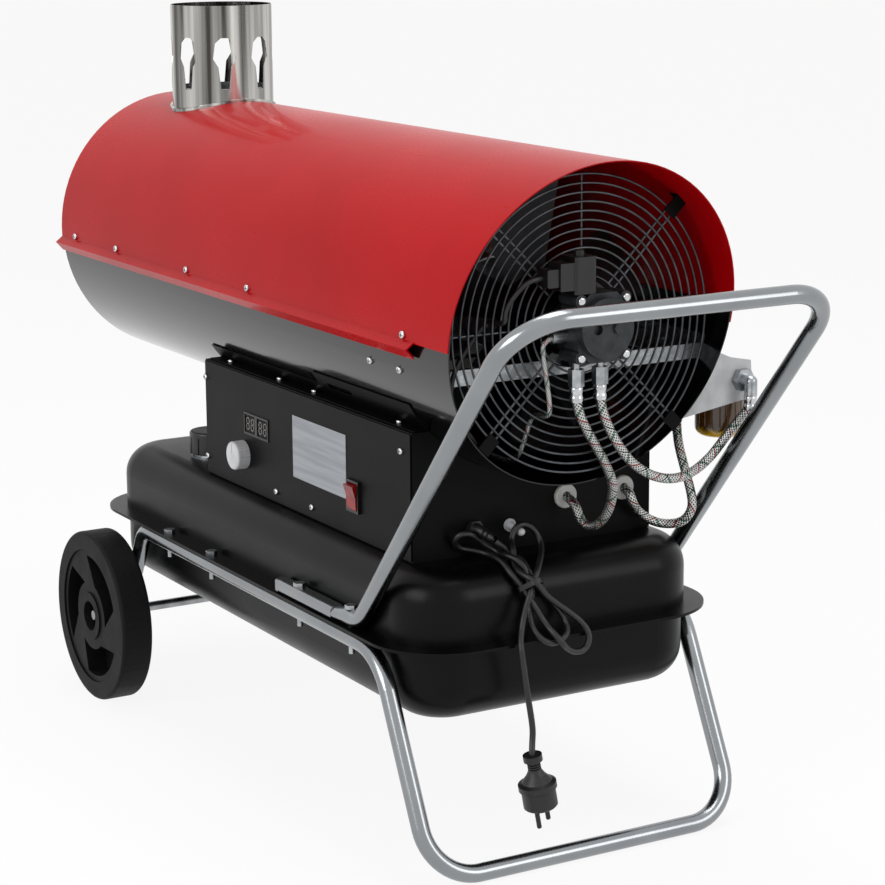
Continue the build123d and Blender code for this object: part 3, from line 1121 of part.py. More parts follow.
# Handle: one bent tube whose flattened ends lie on the tank flange
arm_level = FLANGE_TOP_Z + TUBE_D / 2
handle_points = [(ARM_ROUND_START, -TUBE_Y, arm_level), (ARM_BEND_STATION, -TUBE_Y, arm_level),
                 (HANDLE_STATION, -TUBE_Y, HANDLE_Z)]
handle_points += [(x, -y, z) for x, y, z in reversed(handle_points)]
handle_bends = [ARM_BEND_R, HANDLE_BEND_R, HANDLE_BEND_R, ARM_BEND_R]
handle = bent_tube(handle_points, handle_bends, TUBE_D, TUBE_WALL)
flat_middle = FLANGE_TOP_Z + ARM_FLAT_HEIGHT / 2
for side in (-1, 1):
    arm = block(ARM_START + ARM_FLAT_WIDTH / 2, ARM_FLAT_END, side * TUBE_Y - ARM_FLAT_WIDTH / 2,
                side * TUBE_Y + ARM_FLAT_WIDTH / 2, FLANGE_TOP_Z, FLANGE_TOP_Z + ARM_FLAT_HEIGHT)
    arm = fillet(arm.edges().filter_by(Axis.X), 5.0)
    arm += fillet(rod(ARM_FLAT_WIDTH / 2, ARM_FLAT_HEIGHT,
                      (ARM_START + ARM_FLAT_WIDTH / 2, side * TUBE_Y, FLANGE_TOP_Z), (0, 0, 1)
                      ).edges().filter_by(GeomType.CIRCLE), 3.0)
    flat_end = Plane(origin=(ARM_FLAT_END - 1, side * TUBE_Y, flat_middle), x_dir=(0, 1, 0),
                     z_dir=(1, 0, 0))
    round_end = Plane(origin=(ARM_ROUND_START, side * TUBE_Y, arm_level), x_dir=(0, 1, 0),
                      z_dir=(1, 0, 0))
    arm += loft([flat_end * Ellipse(ARM_FLAT_WIDTH / 2, ARM_FLAT_HEIGHT / 2),
                 round_end * Circle(TUBE_D / 2)])
    handle += arm
for hole in BOLT_HOLES:
    handle -= hole
save(handle, "handle_frame")

bolts = []
for station, y, head in frame_bolt_places():
    bolt = rod(BOLT_D / 2, head - BOLT_BOTTOM_Z + 1, (station, y, BOLT_BOTTOM_Z), (0, 0, 1))
    bolt += extrude(Pos(station, y, head) * RegularPolygon(BOLT_HEAD_D / 2, 6, major_radius=False),
                    BOLT_HEAD_H)
    bolts.append(bolt)
save(group(bolts), "frame_bolts")

# Axle, wheels and the lock washers in their counterbores
lock_y = WHEEL_INNER_Y + WHEEL_WIDTH - WHEEL_COUNTERBORE_DEPTH + WHEEL_HUB_GAP
axle_half = lock_y + LOCK_THICK + AXLE_TAIL
save(rod(AXLE_D / 2, 2 * axle_half, (AXLE_STATION, -axle_half, WHEEL_RADIUS), (0, 1, 0)), "axle")
locks = []
for side in (-1, 1):
    lock = rod(LOCK_D / 2, LOCK_THICK, (AXLE_STATION, side * lock_y, WHEEL_RADIUS), (0, side, 0))
    lock -= rod(AXLE_D / 2, BIG, (AXLE_STATION, 0, WHEEL_RADIUS), (0, side, 0))
    locks.append(lock)
save(group(locks), "axle_locks")


def wheel_pocket():
    """One swirled recess in the outer face, as a cutter."""
    points = []
    for step in range(POCKET_STEPS + 1):
        share = step / POCKET_STEPS
        angle = math.radians(WHEEL_POCKET_SPAN_DEG * share)
        points.append((WHEEL_POCKET_OUT * math.cos(angle), WHEEL_POCKET_OUT * math.sin(angle)))
    for step in range(POCKET_STEPS + 1):
        share = 1 - step / POCKET_STEPS
        angle = math.radians(WHEEL_POCKET_SPAN_DEG * share + WHEEL_POCKET_SWIRL_DEG)
        points.append((WHEEL_POCKET_IN * math.cos(angle), WHEEL_POCKET_IN * math.sin(angle)))
    outline = make_face(Polyline(*points, close=True))
    return fillet(outline.vertices().sort_by(Axis.X)[:1], 1.0)


def wheel_half():
    """The wheel on the +Y side, its axis on the Z axis of a working frame."""
    body = extrude(Circle(WHEEL_RADIUS), WHEEL_WIDTH)
    body = fillet(body.edges().filter_by(GeomType.CIRCLE), WHEEL_EDGE_ROUND)
    body -= extrude(Pos(0, 0, WHEEL_WIDTH - WHEEL_DISH) * Circle(WHEEL_RIM_RADIUS), WHEEL_DISH + 1)
    hub_low = PADDLE_FACE_Y + WHEEL_HUB_GAP - WHEEL_INNER_Y
    body += extrude(Pos(0, 0, hub_low) * Circle(WHEEL_HUB_RADIUS), -hub_low + 1)
    body += extrude(Pos(0, 0, WHEEL_WIDTH - WHEEL_DISH - 1) * Circle(WHEEL_HUB_RADIUS + 4),
                    WHEEL_DISH + 1)
    pocket_floor = WHEEL_WIDTH - WHEEL_DISH - WHEEL_POCKET_DEPTH
    pocket = extrude(Pos(0, 0, pocket_floor) * wheel_pocket(), WHEEL_POCKET_DEPTH + 5)
    for step in range(3):
        body -= pocket.rotate(Axis.Z, step * 120 + WHEEL_POCKET_START_DEG)
    body -= extrude(Pos(0, 0, WHEEL_WIDTH - WHEEL_COUNTERBORE_DEPTH) * Circle(WHEEL_COUNTERBORE_D / 2),
                    WHEEL_COUNTERBORE_DEPTH + 1)
    body -= extrude(Pos(0, 0, hub_low - 1) * Circle(AXLE_D / 2 + AXLE_FIT_GAP), WHEEL_WIDTH + 20)
    return body


wheel_plane = Plane(origin=(AXLE_STATION, WHEEL_INNER_Y, WHEEL_RADIUS), x_dir=(1, 0, 0), z_dir=(0, 1, 0))
left_wheel = wheel_plane * wheel_half()
save(left_wheel, "wheel_left")
save(mirror_y(left_wheel), "wheel_right")

# Fuel filter on the +Y side of the drum
plate_back = FILTER_PLATE_STATION
plate_front = FILTER_PLATE_STATION + FILTER_PLATE_THICK
plate_outline = Polyline((FILTER_ROOT_Y, FILTER_PLATE_TOP_Z + 16), (FILTER_ROOT_Y + 30, FILTER_PLATE_TOP_Z + 3),
                         (FILTER_PLATE_OUTER_Y, FILTER_PLATE_TOP_Z - 2),
                         (FILTER_PLATE_OUTER_Y + 1, FILTER_PLATE_LOW_Z + 26),
                         (FILTER_PLATE_OUTER_Y, FILTER_PLATE_LOW_Z),
                         (FILTER_INNER_Y, FILTER_PLATE_LOW_Z - 12), close=True)
filter_plate = extrude(Plane(origin=(plate_back, 0, 0), x_dir=(0, 1, 0), z_dir=(1, 0, 0))
                       * make_face(plate_outline), FILTER_PLATE_THICK, dir=(1, 0, 0))
filter_plate -= rod_x(LOWER_OUTER_RADIUS + HOLE_GAP, plate_back - 1, plate_front + 1)
foot = ring_x(LOWER_OUTER_RADIUS + FILTER_PLATE_THICK, LOWER_OUTER_RADIUS + HOLE_GAP,
              plate_front - FILTER_FOOT_LENGTH, plate_front)
filter_plate += foot & block(0, plate_front, FILTER_INNER_Y - 6, BIG, FILTER_PLATE_LOW_Z - 6,
                             FILTER_PLATE_TOP_Z + 10)
filter_plate -= rod_x(UNION_STEM_D / 2 + HOLE_GAP, plate_back - 5, plate_front + 5, FILTER_UNION_Y,
                      FILTER_PORT_Z)
save(filter_plate, "filter_bracket")

filter_axis = (FILTER_STATION, FILTER_Y)
head = ring_z(FILTER_HEAD_D / 2, 4.0, *filter_axis, FILTER_BOWL_TOP_Z, FILTER_HEAD_TOP_Z)
head = fillet(head.edges().filter_by(GeomType.CIRCLE).group_by(Axis.Z)[-1], 1.5)
head += rod(6.0, FILTER_HEAD_TOP_Z - FILTER_BOWL_TOP_Z + 6, (*filter_axis, FILTER_BOWL_TOP_Z), (0, 0, 1))
head += block(FILTER_STATION, plate_back, FILTER_Y - 12, FILTER_Y + 12, FILTER_PORT_Z - 10,
              FILTER_PORT_Z + 10)
head += rod_x(7.0, FILTER_STATION - FILTER_HEAD_D / 2 - FILTER_SPOUT, FILTER_STATION, FILTER_Y,
              FILTER_PORT_Z)
head -= rod_x(HOSE_D / 2 + HOLE_GAP, FILTER_STATION - FILTER_HEAD_D / 2 - FILTER_SPOUT - 1,
              FILTER_STATION - FILTER_HEAD_D / 2 - FILTER_SPOUT + HOSE_SOCKET, FILTER_Y, FILTER_PORT_Z)
head -= rod_x(UNION_STEM_D / 2 + HOLE_GAP, plate_back - 6, plate_back + 1, FILTER_UNION_Y, FILTER_PORT_Z)
save(head, "filter_head")

bowl = rod(FILTER_BOWL_D / 2, FILTER_BOWL_TOP_Z - FILTER_BOWL_BOTTOM_Z,
           (*filter_axis, FILTER_BOWL_BOTTOM_Z), (0, 0, 1))
bowl = fillet(bowl.edges().filter_by(GeomType.CIRCLE).sort_by(Axis.Z)[0], 9.0)
bowl -= rod(FILTER_BOWL_D / 2 - FILTER_BOWL_WALL - 0.8,
            FILTER_BOWL_TOP_Z - FILTER_BOWL_BOTTOM_Z - 3,
            (*filter_axis, FILTER_BOWL_BOTTOM_Z + 4), (0, 0, 1))
groove = rod(0.8, BIG, (FILTER_STATION + FILTER_BOWL_D / 2, FILTER_Y, FILTER_BOWL_BOTTOM_Z + 12), (0, 0, 1))
for step in range(FILTER_BOWL_RIBS):
    bowl -= groove.rotate(Axis((*filter_axis, 0), (0, 0, 1)), step * 360 / FILTER_BOWL_RIBS)
save(bowl, "filter_bowl")

elbow_x = plate_front + UNION_HEX_LENGTH + UNION_REACH
union = rod_x(UNION_STEM_D / 2, plate_back - 5, plate_front + 1, FILTER_UNION_Y, FILTER_PORT_Z)
union += hex_x(UNION_HEX, plate_front, plate_front + UNION_HEX_LENGTH, FILTER_UNION_Y, FILTER_PORT_Z)
union += rod_x(UNION_ELBOW_D / 2, plate_front + 1, elbow_x, FILTER_UNION_Y, FILTER_PORT_Z)
union += Pos(elbow_x, FILTER_UNION_Y, FILTER_PORT_Z) * Sphere(UNION_ELBOW_D / 2)
union += rod(UNION_ELBOW_D / 2, UNION_DROP, (elbow_x, FILTER_UNION_Y, FILTER_PORT_Z), (0, 0, -1))
union -= rod(HOSE_D / 2 + HOLE_GAP, UNION_DROP, (elbow_x, FILTER_UNION_Y,
                                                 FILTER_PORT_Z - UNION_DROP + HOSE_SOCKET), (0, 0, -1))
save(union, "filter_union")

# Braided hoses, the nozzle line and the valve cable
hose_top = fitting_start - FITTING_STEM - FITTING_LENGTH + HOSE_SOCKET - HOLE_GAP
return_y, suction_y = FITTING_YS
near_y, far_y = GROMMET_YS
RETURN_ROUTE = [
    (FITTING_STATION, return_y, hose_top), (FITTING_STATION, return_y, 457), (933, -9, 433),
    (928, 6, 413), (920, 23, 391), (911, 37, 370), (900, 43, 350), (888, 44, 331), (872, 41, 317),
    (855, near_y + 1, 318), (843, near_y, GROMMET_Z), (SPIGOT_STATION, near_y, GROMMET_Z),
    (SPIGOT_STATION, near_y, SPIGOT_TOP)]
SUCTION_ROUTE = [
    (FITTING_STATION, suction_y, hose_top), (FITTING_STATION, suction_y, 458), (935, 13, 436),
    (935, 26, 414), (935, 43, 393), (933, 67, 378), (931, 93, 371), (922, 122, 372), (912, 151, 382),
    (905, 174, 398), (911, 186, 416), (elbow_x, FILTER_UNION_Y, 430),
    (elbow_x, FILTER_UNION_Y, FILTER_PORT_Z - UNION_DROP + HOSE_SOCKET - HOLE_GAP)]
spout_x = FILTER_STATION - FILTER_HEAD_D / 2 - FILTER_SPOUT + HOSE_SOCKET - HOLE_GAP
TANK_ROUTE = [
    (spout_x, FILTER_Y, FILTER_PORT_Z), (818, FILTER_Y, FILTER_PORT_Z), (821, 178, 433),
    (839, 162, 412), (855, 152, 390), (866, 153, 364), (869, 159, 341), (873, 160, 322),
    (863, 156, 306), (850, 146, 301.5), (842, 131, 305), (838, 115, 317), (843, far_y + 1, 330),
    (838, far_y, GROMMET_Z), (SPIGOT_STATION, far_y, GROMMET_Z),
    (SPIGOT_STATION, far_y, SPIGOT_TOP)]
NOZZLE_ROUTE = [
    (LINE_STATION, -PUMP_WIDTH / 2 - LINE_NUT_LENGTH / 2 - HOLE_GAP, LINE_Z),
    (LINE_STATION, -54, LINE_Z), (927, -52, 497), (926, -47, 471), (926, -44.5, 446.1),
    (893, -44.5, 446.1), (884, -47, 420), (872, -50, 393), (830, -50.5, 393), (792, -50, 393.5),
    (757, -50, 393), (757, -36, 428), (757, -18, 470), (757, 0, 499), (757, 0, DRUM_AXIS_Z),
    (NOZZLE_END - NOZZLE_SOCKET + HOLE_GAP, 0, DRUM_AXIS_Z)]
CABLE_ROUTE = [
    (936, plug_y - COIL_PLUG_WIDTH, 582), (936, -74, 582), (932, -87, 569), (926, -94.5, 554),
    (926, -94.5, 540), (900, -94.5, 540), (897, -104, 533), (898, -122, 513), (898, -136, 490),
    (898, -137, 466), (895, -122, 441), (886, -104, 423), (868, -94, 414), (832, -91, 411),
    (800, -90, 410), (800, -90, 385)]
save(tube_route(RETURN_ROUTE, HOSE_D, "return_hose"), "return_hose")
save(tube_route(SUCTION_ROUTE, HOSE_D, "suction_hose"), "suction_hose")
save(tube_route(TANK_ROUTE, HOSE_D, "tank_hose"), "tank_hose")
save(tube_route(NOZZLE_ROUTE, LINE_D, "nozzle_hose"), "nozzle_hose")
save(tube_route(CABLE_ROUTE, CABLE_D, "solenoid_cable"), "solenoid_cable")






def least_gap(path, diameter, name):
    """Print the least gap between strands of one cord that lie apart along it."""
    count = int(path.length / 2.5)
    points = [path @ (step / count) for step in range(count + 1)]
    apart = int(math.pi * diameter / 2.5) + 1
    gap = min((points[i] - points[j]).length for i in range(count)
              for j in range(i + apart, count + 1)) - diameter
    print(f"{name}: least gap to itself {gap:.2f}")


# Mains cord: out of the gland, down to the tie, through two hanging loops, one loop to
# the left and one over the hook, and then straight down to the plug
CORD_ROUTE = [
    (841.5, -70.5, 321.5), (852.4, -68.9, 319.6), (856.1, -62, 312.4), (855.6, -53.1, 305.7),
    (859.5, -46.5, 298.7), (870.4, -42, 295.6), (880.2, -42.5, 289.7), (888.8, -39.5, 282.1),
    (892.6, -34.8, 273), (893.9, -28.6, 263.7), (895.3, -21.5, 254.9), (896.6, -14.7, 246),
    (900.6, -10.5, 236.2), (909.4, -13.6, 228.8), (914.3, -21.5, 224.6), (914.4, -31.6, 220.4),
    (914.9, -42.2, 223.6), (908.2, -48.4, 230.1), (900.4, -49.8, 238.3), (896, -49, 248.5),
    (893.4, -45.8, 259.1), (893.5, -44.4, 270.2), (889, -47.4, 280.5), (885.4, -47.4, 291.9),
    (879, -54, 300.4), (868.4, -58.4, 302), (856.1, -57.3, 300), (846.5, -59.8, 303.8),
    (842.5, -68.6, 309.4), (842.9, -77.1, 316.5), (843.5, -86.1, 322.5), (839.5, -95.4, 320.9),
    (833.9, -97.2, 312.2), (832.3, -89.5, 304.8), (834.4, -79, 302.7), (839, -69.3, 300.1),
    (849, -65.1, 298.9), (860.4, -64.6, 298.4), (871.4, -62.9, 295.1), (881.2, -62.7, 288.6),
    (888.1, -57.9, 281), (893.3, -53.2, 272.6), (899, -50.2, 263.5), (902, -45.3, 254.4),
    (903.3, -40.1, 244.7), (908.7, -36.2, 236.1), (918, -33.2, 229.7), (921.8, -27.5, 221.7),
    (917.1, -19.5, 214.2), (914.8, -10.1, 208.6), (914.2, 0.9, 207.8), (913.8, 8.3, 215.3),
    (911.7, 8.7, 225.9), (907.3, 3.7, 234.8), (904, -4, 242.2), (902.9, -12.7, 249.2),
    (902.1, -21.6, 256), (901.5, -30.3, 263), (902.4, -38.4, 270.8), (905, -45.9, 280.6),
    (898.5, -52.6, 286.4), (887.1, -55.2, 288.9), (876.6, -54.1, 291.5), (869, -50.8, 298.6),
    (862.3, -47.1, 307.4), (851.5, -42.9, 308.5), (847.5, -38.9, 317.4), (848.3, -30.9, 325.9),
    (848.1, -19.8, 322.4), (848.6, -11.7, 314.6), (853.1, -9.5, 305), (861.6, -13.8, 299.6),
    (870.5, -20.2, 297), (879, -26.9, 294.4), (887.5, -33.9, 291.3), (894.7, -40.7, 286.3),
    (897.8, -47.6, 277.4), (903.6, -53.7, 269.6), (903.1, -57.6, 258.6), (902.7, -60.4, 247.6),
    (905, -63.8, 237.5), (910.8, -68.5, 229.5), (916.5, -71.4, 220.8), (916.4, -69.8, 210.1),
    (913.7, -66.6, 199.8), (912.3, -64.3, 189.1), (912.2, -62.5, 178.2), (912.1, -60.6, 167.3),
    (912, -58.6, 156.4), (911.9, -56.7, 145.5), (911.7, -55.3, 134.5), (913.5, -57.2, 124),
    (918, -60.3, 115.1), (918, -59.2, 109.2)]
save(tube_route(CORD_ROUTE, CORD_D, "power_cord"), "power_cord")
least_gap(Polyline(*CORD_ROUTE), CORD_D, "power_cord")

# Cord tie round the strands, at the places where they cross its plane
TIE_STRANDS = [
    (-3.3, -8.7), (-3.8, 0.1), (-3.8, 8.9), (9.1, 2.7), (3.4, -1.7), (-3.6, -9.5), (-4.1,
    -0.2), (-3.7, 8.1), (9.9, 1.2), (2.8, 1), (-3.9, -10.3), (-4.4, -0.5), (-3.6, 7.5), (9.8,
    -0.4), (2.9, 3.4)]
tie_plane = Plane(origin=(895, -46, 277), x_dir=(0.868, -0, 0.496), z_dir=(0.489, 0.161, -0.857))


def tie_outline(radius):
    """The hull round all strands in the tie's plane."""
    circles = Sketch() + [Pos(u, v) * Circle(radius) for u, v in TIE_STRANDS]
    return make_hull(circles.edges())


tie_inner = CORD_D / 2 + TIE_GAP
tie_ring = tie_outline(tie_inner + TIE_WALL) - tie_outline(tie_inner)
save(extrude(tie_plane * tie_ring, TIE_WIDTH / 2, both=True), "cord_tie")

# Mains plug, turned about its own axis and hanging pins down
plug_profile = [(0, 0), (9.5, 0), (9.5, 6.5)]
for step in range(PLUG_RIBS):
    level = 7.5 + step * 2.4
    plug_profile += [(PLUG_NECK_R - 0.8, level - 0.4), (PLUG_NECK_R, level), (PLUG_NECK_R, level + 1.2)]
plug_profile += [(7.5, 18.0), (9.5, 21.5), (15.0, 28.0), (19.0, 30.0), (19.0, 36.0), (17.0, 37.5),
                 (17.0, PLUG_LENGTH - 1.5), (15.5, PLUG_LENGTH), (0, PLUG_LENGTH)]
plug = revolve(make_face(Plane.XZ * Polyline(*plug_profile, close=True)), Axis.Z)
plug -= rod(CORD_D / 2 + HOLE_GAP, PLUG_SOCKET, (0, 0, -0.1), (0, 0, 1))
for side in (-1, 1):
    pin = rod(PLUG_PIN_D / 2, PLUG_PIN_LENGTH + 3, (side * PLUG_PIN_PITCH / 2, 0, PLUG_LENGTH - 3), (0, 0, 1))
    plug += fillet(pin.edges().filter_by(GeomType.CIRCLE).sort_by(Axis.Z)[-1], 1.5)
cord_end = Vector(*CORD_ROUTE[-1])
plug_axis = (cord_end - Vector(*CORD_ROUTE[-2])).normalized()
plug_plane = Plane(origin=cord_end - plug_axis * (PLUG_SOCKET - 0.2), x_dir=PLUG_PIN_LINE,
                   z_dir=plug_axis)
save(plug_plane.location * plug, "cord_plug")
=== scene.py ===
"""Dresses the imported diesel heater: finishes, hoses, mains cord, fittings, light and camera."""
import logging
import math
from dataclasses import dataclass, field
from enum import Enum
from typing import Callable, Sequence

import bmesh
import bpy
from mathutils import Matrix, Vector


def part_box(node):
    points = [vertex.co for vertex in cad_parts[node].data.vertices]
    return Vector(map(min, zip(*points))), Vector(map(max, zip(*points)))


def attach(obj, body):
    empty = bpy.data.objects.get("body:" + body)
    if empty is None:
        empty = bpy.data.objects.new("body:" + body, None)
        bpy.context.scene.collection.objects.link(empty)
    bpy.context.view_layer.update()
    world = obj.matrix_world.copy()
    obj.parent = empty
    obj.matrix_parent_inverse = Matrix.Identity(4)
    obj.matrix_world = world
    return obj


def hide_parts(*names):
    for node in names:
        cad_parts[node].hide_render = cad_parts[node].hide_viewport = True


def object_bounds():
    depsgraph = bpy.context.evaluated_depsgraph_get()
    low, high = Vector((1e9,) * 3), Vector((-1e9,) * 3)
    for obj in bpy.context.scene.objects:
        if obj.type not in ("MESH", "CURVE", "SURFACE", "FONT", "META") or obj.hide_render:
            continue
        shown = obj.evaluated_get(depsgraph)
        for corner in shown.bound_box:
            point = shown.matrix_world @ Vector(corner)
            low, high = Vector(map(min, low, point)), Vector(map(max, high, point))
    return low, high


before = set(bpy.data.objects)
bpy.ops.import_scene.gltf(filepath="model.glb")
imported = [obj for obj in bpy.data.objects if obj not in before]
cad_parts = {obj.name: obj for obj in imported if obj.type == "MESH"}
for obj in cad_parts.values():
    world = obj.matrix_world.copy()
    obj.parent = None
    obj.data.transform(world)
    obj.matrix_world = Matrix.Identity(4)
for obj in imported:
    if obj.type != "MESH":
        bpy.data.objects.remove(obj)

LOG = logging.getLogger("heater")
CAD_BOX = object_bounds()
Route = list[tuple[float, float, float]]
Colour = tuple[float, float, float, float]

# Centre lines of the soft lines in metres, the same points as in the part's source
RETURN_ROUTE: Route = [
    (0.393, -0.022, 0.4819), (0.393, -0.022, 0.457), (0.391, -0.009, 0.433),
    (0.386, 0.006, 0.413), (0.378, 0.023, 0.391), (0.369, 0.037, 0.37), (0.358, 0.043, 0.35),
    (0.346, 0.044, 0.331), (0.33, 0.041, 0.317), (0.313, 0.037, 0.318), (0.301, 0.036, 0.341),
    (0.248, 0.036, 0.341), (0.248, 0.036, 0.316)]
SUCTION_ROUTE: Route = [
    (0.393, 0.0048, 0.4819), (0.393, 0.0048, 0.458), (0.393, 0.013, 0.436), (0.393, 0.026, 0.414),
    (0.393, 0.043, 0.393), (0.391, 0.067, 0.378), (0.389, 0.093, 0.371), (0.38, 0.122, 0.372),
    (0.37, 0.151, 0.382), (0.363, 0.174, 0.398), (0.369, 0.186, 0.416), (0.379, 0.193, 0.43),
    (0.379, 0.193, 0.4479)]
TANK_ROUTE: Route = [
    (0.3019, 0.192, 0.456), (0.276, 0.192, 0.456), (0.279, 0.178, 0.433), (0.297, 0.162, 0.412),
    (0.313, 0.152, 0.39), (0.324, 0.153, 0.364), (0.327, 0.159, 0.341), (0.331, 0.16, 0.322),
    (0.321, 0.156, 0.306), (0.308, 0.146, 0.3015), (0.3, 0.131, 0.305), (0.296, 0.115, 0.317),
    (0.301, 0.1056, 0.33), (0.296, 0.1046, 0.341), (0.248, 0.1046, 0.341), (0.248, 0.1046, 0.316)]
NOZZLE_ROUTE: Route = [
    (0.383, -0.0361, 0.523), (0.383, -0.054, 0.523), (0.385, -0.052, 0.497),
    (0.384, -0.047, 0.471), (0.384, -0.0445, 0.4461), (0.351, -0.0445, 0.4461),
    (0.342, -0.047, 0.42), (0.33, -0.05, 0.393), (0.288, -0.0505, 0.393), (0.25, -0.05, 0.3935),
    (0.215, -0.05, 0.393), (0.215, -0.036, 0.428), (0.215, -0.018, 0.47), (0.215, 0, 0.499),
    (0.215, 0, 0.53), (0.1701, 0, 0.53)]
CABLE_ROUTE: Route = [
    (0.394, -0.06, 0.582), (0.394, -0.074, 0.582), (0.39, -0.087, 0.569), (0.384, -0.0945, 0.554),
    (0.384, -0.0945, 0.54), (0.358, -0.0945, 0.54), (0.355, -0.104, 0.533),
    (0.356, -0.122, 0.513), (0.356, -0.136, 0.49), (0.356, -0.137, 0.466), (0.353, -0.122, 0.441),
    (0.344, -0.104, 0.423), (0.326, -0.094, 0.414), (0.29, -0.091, 0.411), (0.258, -0.09, 0.41),
    (0.258, -0.09, 0.385)]
CORD_ROUTE: Route = [
    (0.2995, -0.0705, 0.3215), (0.3104, -0.0689, 0.3196), (0.3141, -0.062, 0.3124),
    (0.3136, -0.0531, 0.3057), (0.3175, -0.0465, 0.2987), (0.3284, -0.042, 0.2956),
    (0.3382, -0.0425, 0.2897), (0.3468, -0.0395, 0.2821), (0.3506, -0.0348, 0.273),
    (0.3519, -0.0286, 0.2637), (0.3533, -0.0215, 0.2549), (0.3546, -0.0147, 0.246),
    (0.3586, -0.0105, 0.2362), (0.3674, -0.0136, 0.2288), (0.3723, -0.0215, 0.2246),
    (0.3724, -0.0316, 0.2204), (0.3729, -0.0422, 0.2236), (0.3662, -0.0484, 0.2301),
    (0.3584, -0.0498, 0.2383), (0.354, -0.049, 0.2485), (0.3514, -0.0458, 0.2591),
    (0.3515, -0.0444, 0.2702), (0.347, -0.0474, 0.2805), (0.3434, -0.0474, 0.2919),
    (0.337, -0.054, 0.3004), (0.3264, -0.0584, 0.302), (0.3141, -0.0573, 0.3),
    (0.3045, -0.0598, 0.3038), (0.3005, -0.0686, 0.3094), (0.3009, -0.0771, 0.3165),
    (0.3015, -0.0861, 0.3225), (0.2975, -0.0954, 0.3209), (0.2919, -0.0972, 0.3122),
    (0.2903, -0.0895, 0.3048), (0.2924, -0.079, 0.3027), (0.297, -0.0693, 0.3001),
    (0.307, -0.0651, 0.2989), (0.3184, -0.0646, 0.2984), (0.3294, -0.0629, 0.2951),
    (0.3392, -0.0627, 0.2886), (0.3461, -0.0579, 0.281), (0.3513, -0.0532, 0.2726),
    (0.357, -0.0502, 0.2635), (0.36, -0.0453, 0.2544), (0.3613, -0.0401, 0.2447),
    (0.3667, -0.0362, 0.2361), (0.376, -0.0332, 0.2297), (0.3798, -0.0275, 0.2217),
    (0.3751, -0.0195, 0.2142), (0.3728, -0.0101, 0.2086), (0.3722, 0.0009, 0.2078),
    (0.3718, 0.0083, 0.2153), (0.3697, 0.0087, 0.2259), (0.3653, 0.0037, 0.2348),
    (0.362, -0.004, 0.2422), (0.3609, -0.0127, 0.2492), (0.3601, -0.0216, 0.256),
    (0.3595, -0.0303, 0.263), (0.3604, -0.0384, 0.2708), (0.363, -0.0459, 0.2806),
    (0.3565, -0.0526, 0.2864), (0.3451, -0.0552, 0.2889), (0.3346, -0.0541, 0.2915),
    (0.327, -0.0508, 0.2986), (0.3203, -0.0471, 0.3074), (0.3095, -0.0429, 0.3085),
    (0.3055, -0.0389, 0.3174), (0.3063, -0.0309, 0.3259), (0.3061, -0.0198, 0.3224),
    (0.3066, -0.0117, 0.3146), (0.3111, -0.0095, 0.305), (0.3196, -0.0138, 0.2996),
    (0.3285, -0.0202, 0.297), (0.337, -0.0269, 0.2944), (0.3455, -0.0339, 0.2913),
    (0.3527, -0.0407, 0.2863), (0.3558, -0.0476, 0.2774), (0.3616, -0.0537, 0.2696),
    (0.3611, -0.0576, 0.2586), (0.3607, -0.0604, 0.2476), (0.363, -0.0638, 0.2375),
    (0.3688, -0.0685, 0.2295), (0.3745, -0.0714, 0.2208), (0.3744, -0.0698, 0.2101),
    (0.3717, -0.0666, 0.1998), (0.3703, -0.0643, 0.1891), (0.3702, -0.0625, 0.1782),
    (0.3701, -0.0606, 0.1673), (0.37, -0.0586, 0.1564), (0.3699, -0.0567, 0.1455),
    (0.3697, -0.0553, 0.1345), (0.3715, -0.0572, 0.124), (0.376, -0.0603, 0.1151),
    (0.376, -0.0592, 0.1092)]

# Outside diameters
HOSE_D = 0.0095
THIN_LINE_D = 0.005
CORD_D = 0.0062

# Points read from a spline between two of its control points
STEPS_A_POINT = 10

# The body that every piece made here rides on
HEATER = "heater"


class Slot(Enum):
    """Material slots of the record; the thin lines list one each, but no piece is given one."""

    HOSE_BRAID = "hose_braid"
    ZINC_PLATE = "zinc_plate"
    CORD_RUBBER = "cord_rubber"
    BLACK_PLASTIC = "black_plastic"
    GREY_PLASTIC = "grey_plastic"


def linear(hex_code: str) -> Colour:
    """Turns an sRGB hex colour into linear red, green, blue and alpha.

    Args:
        hex_code: six hex digits.

    Returns:
        The linear colour.
    """
    parts = [int(hex_code[start:start + 2], 16) / 255 for start in (0, 2, 4)]
    red, green, blue = (v / 12.92 if v <= 0.04045 else ((v + 0.055) / 1.055) ** 2.4 for v in parts)
    return red, green, blue, 1.0


def add(tree: bpy.types.NodeTree, kind: str, inputs: dict | None = None, out: int = 0,
        **settings: object) -> bpy.types.NodeSocket:
    """Adds a shader node with its settings, values and links.

    Args:
        tree: the node tree.
        kind: the node's type name without its ShaderNode prefix.
        inputs: input name or number to a value or to another node's output.
        out: number of the output to return.
        settings: the node's own properties.

    Returns:
        The chosen output of the new node.
    """
    node = tree.nodes.new(f"ShaderNode{kind}")
    for key, value in settings.items():
        setattr(node, key, value)
    for key, value in (inputs or {}).items():
        if isinstance(value, bpy.types.NodeSocket):
            tree.links.new(value, node.inputs[key])
        else:
            node.inputs[key].default_value = value
    return node.outputs[out]


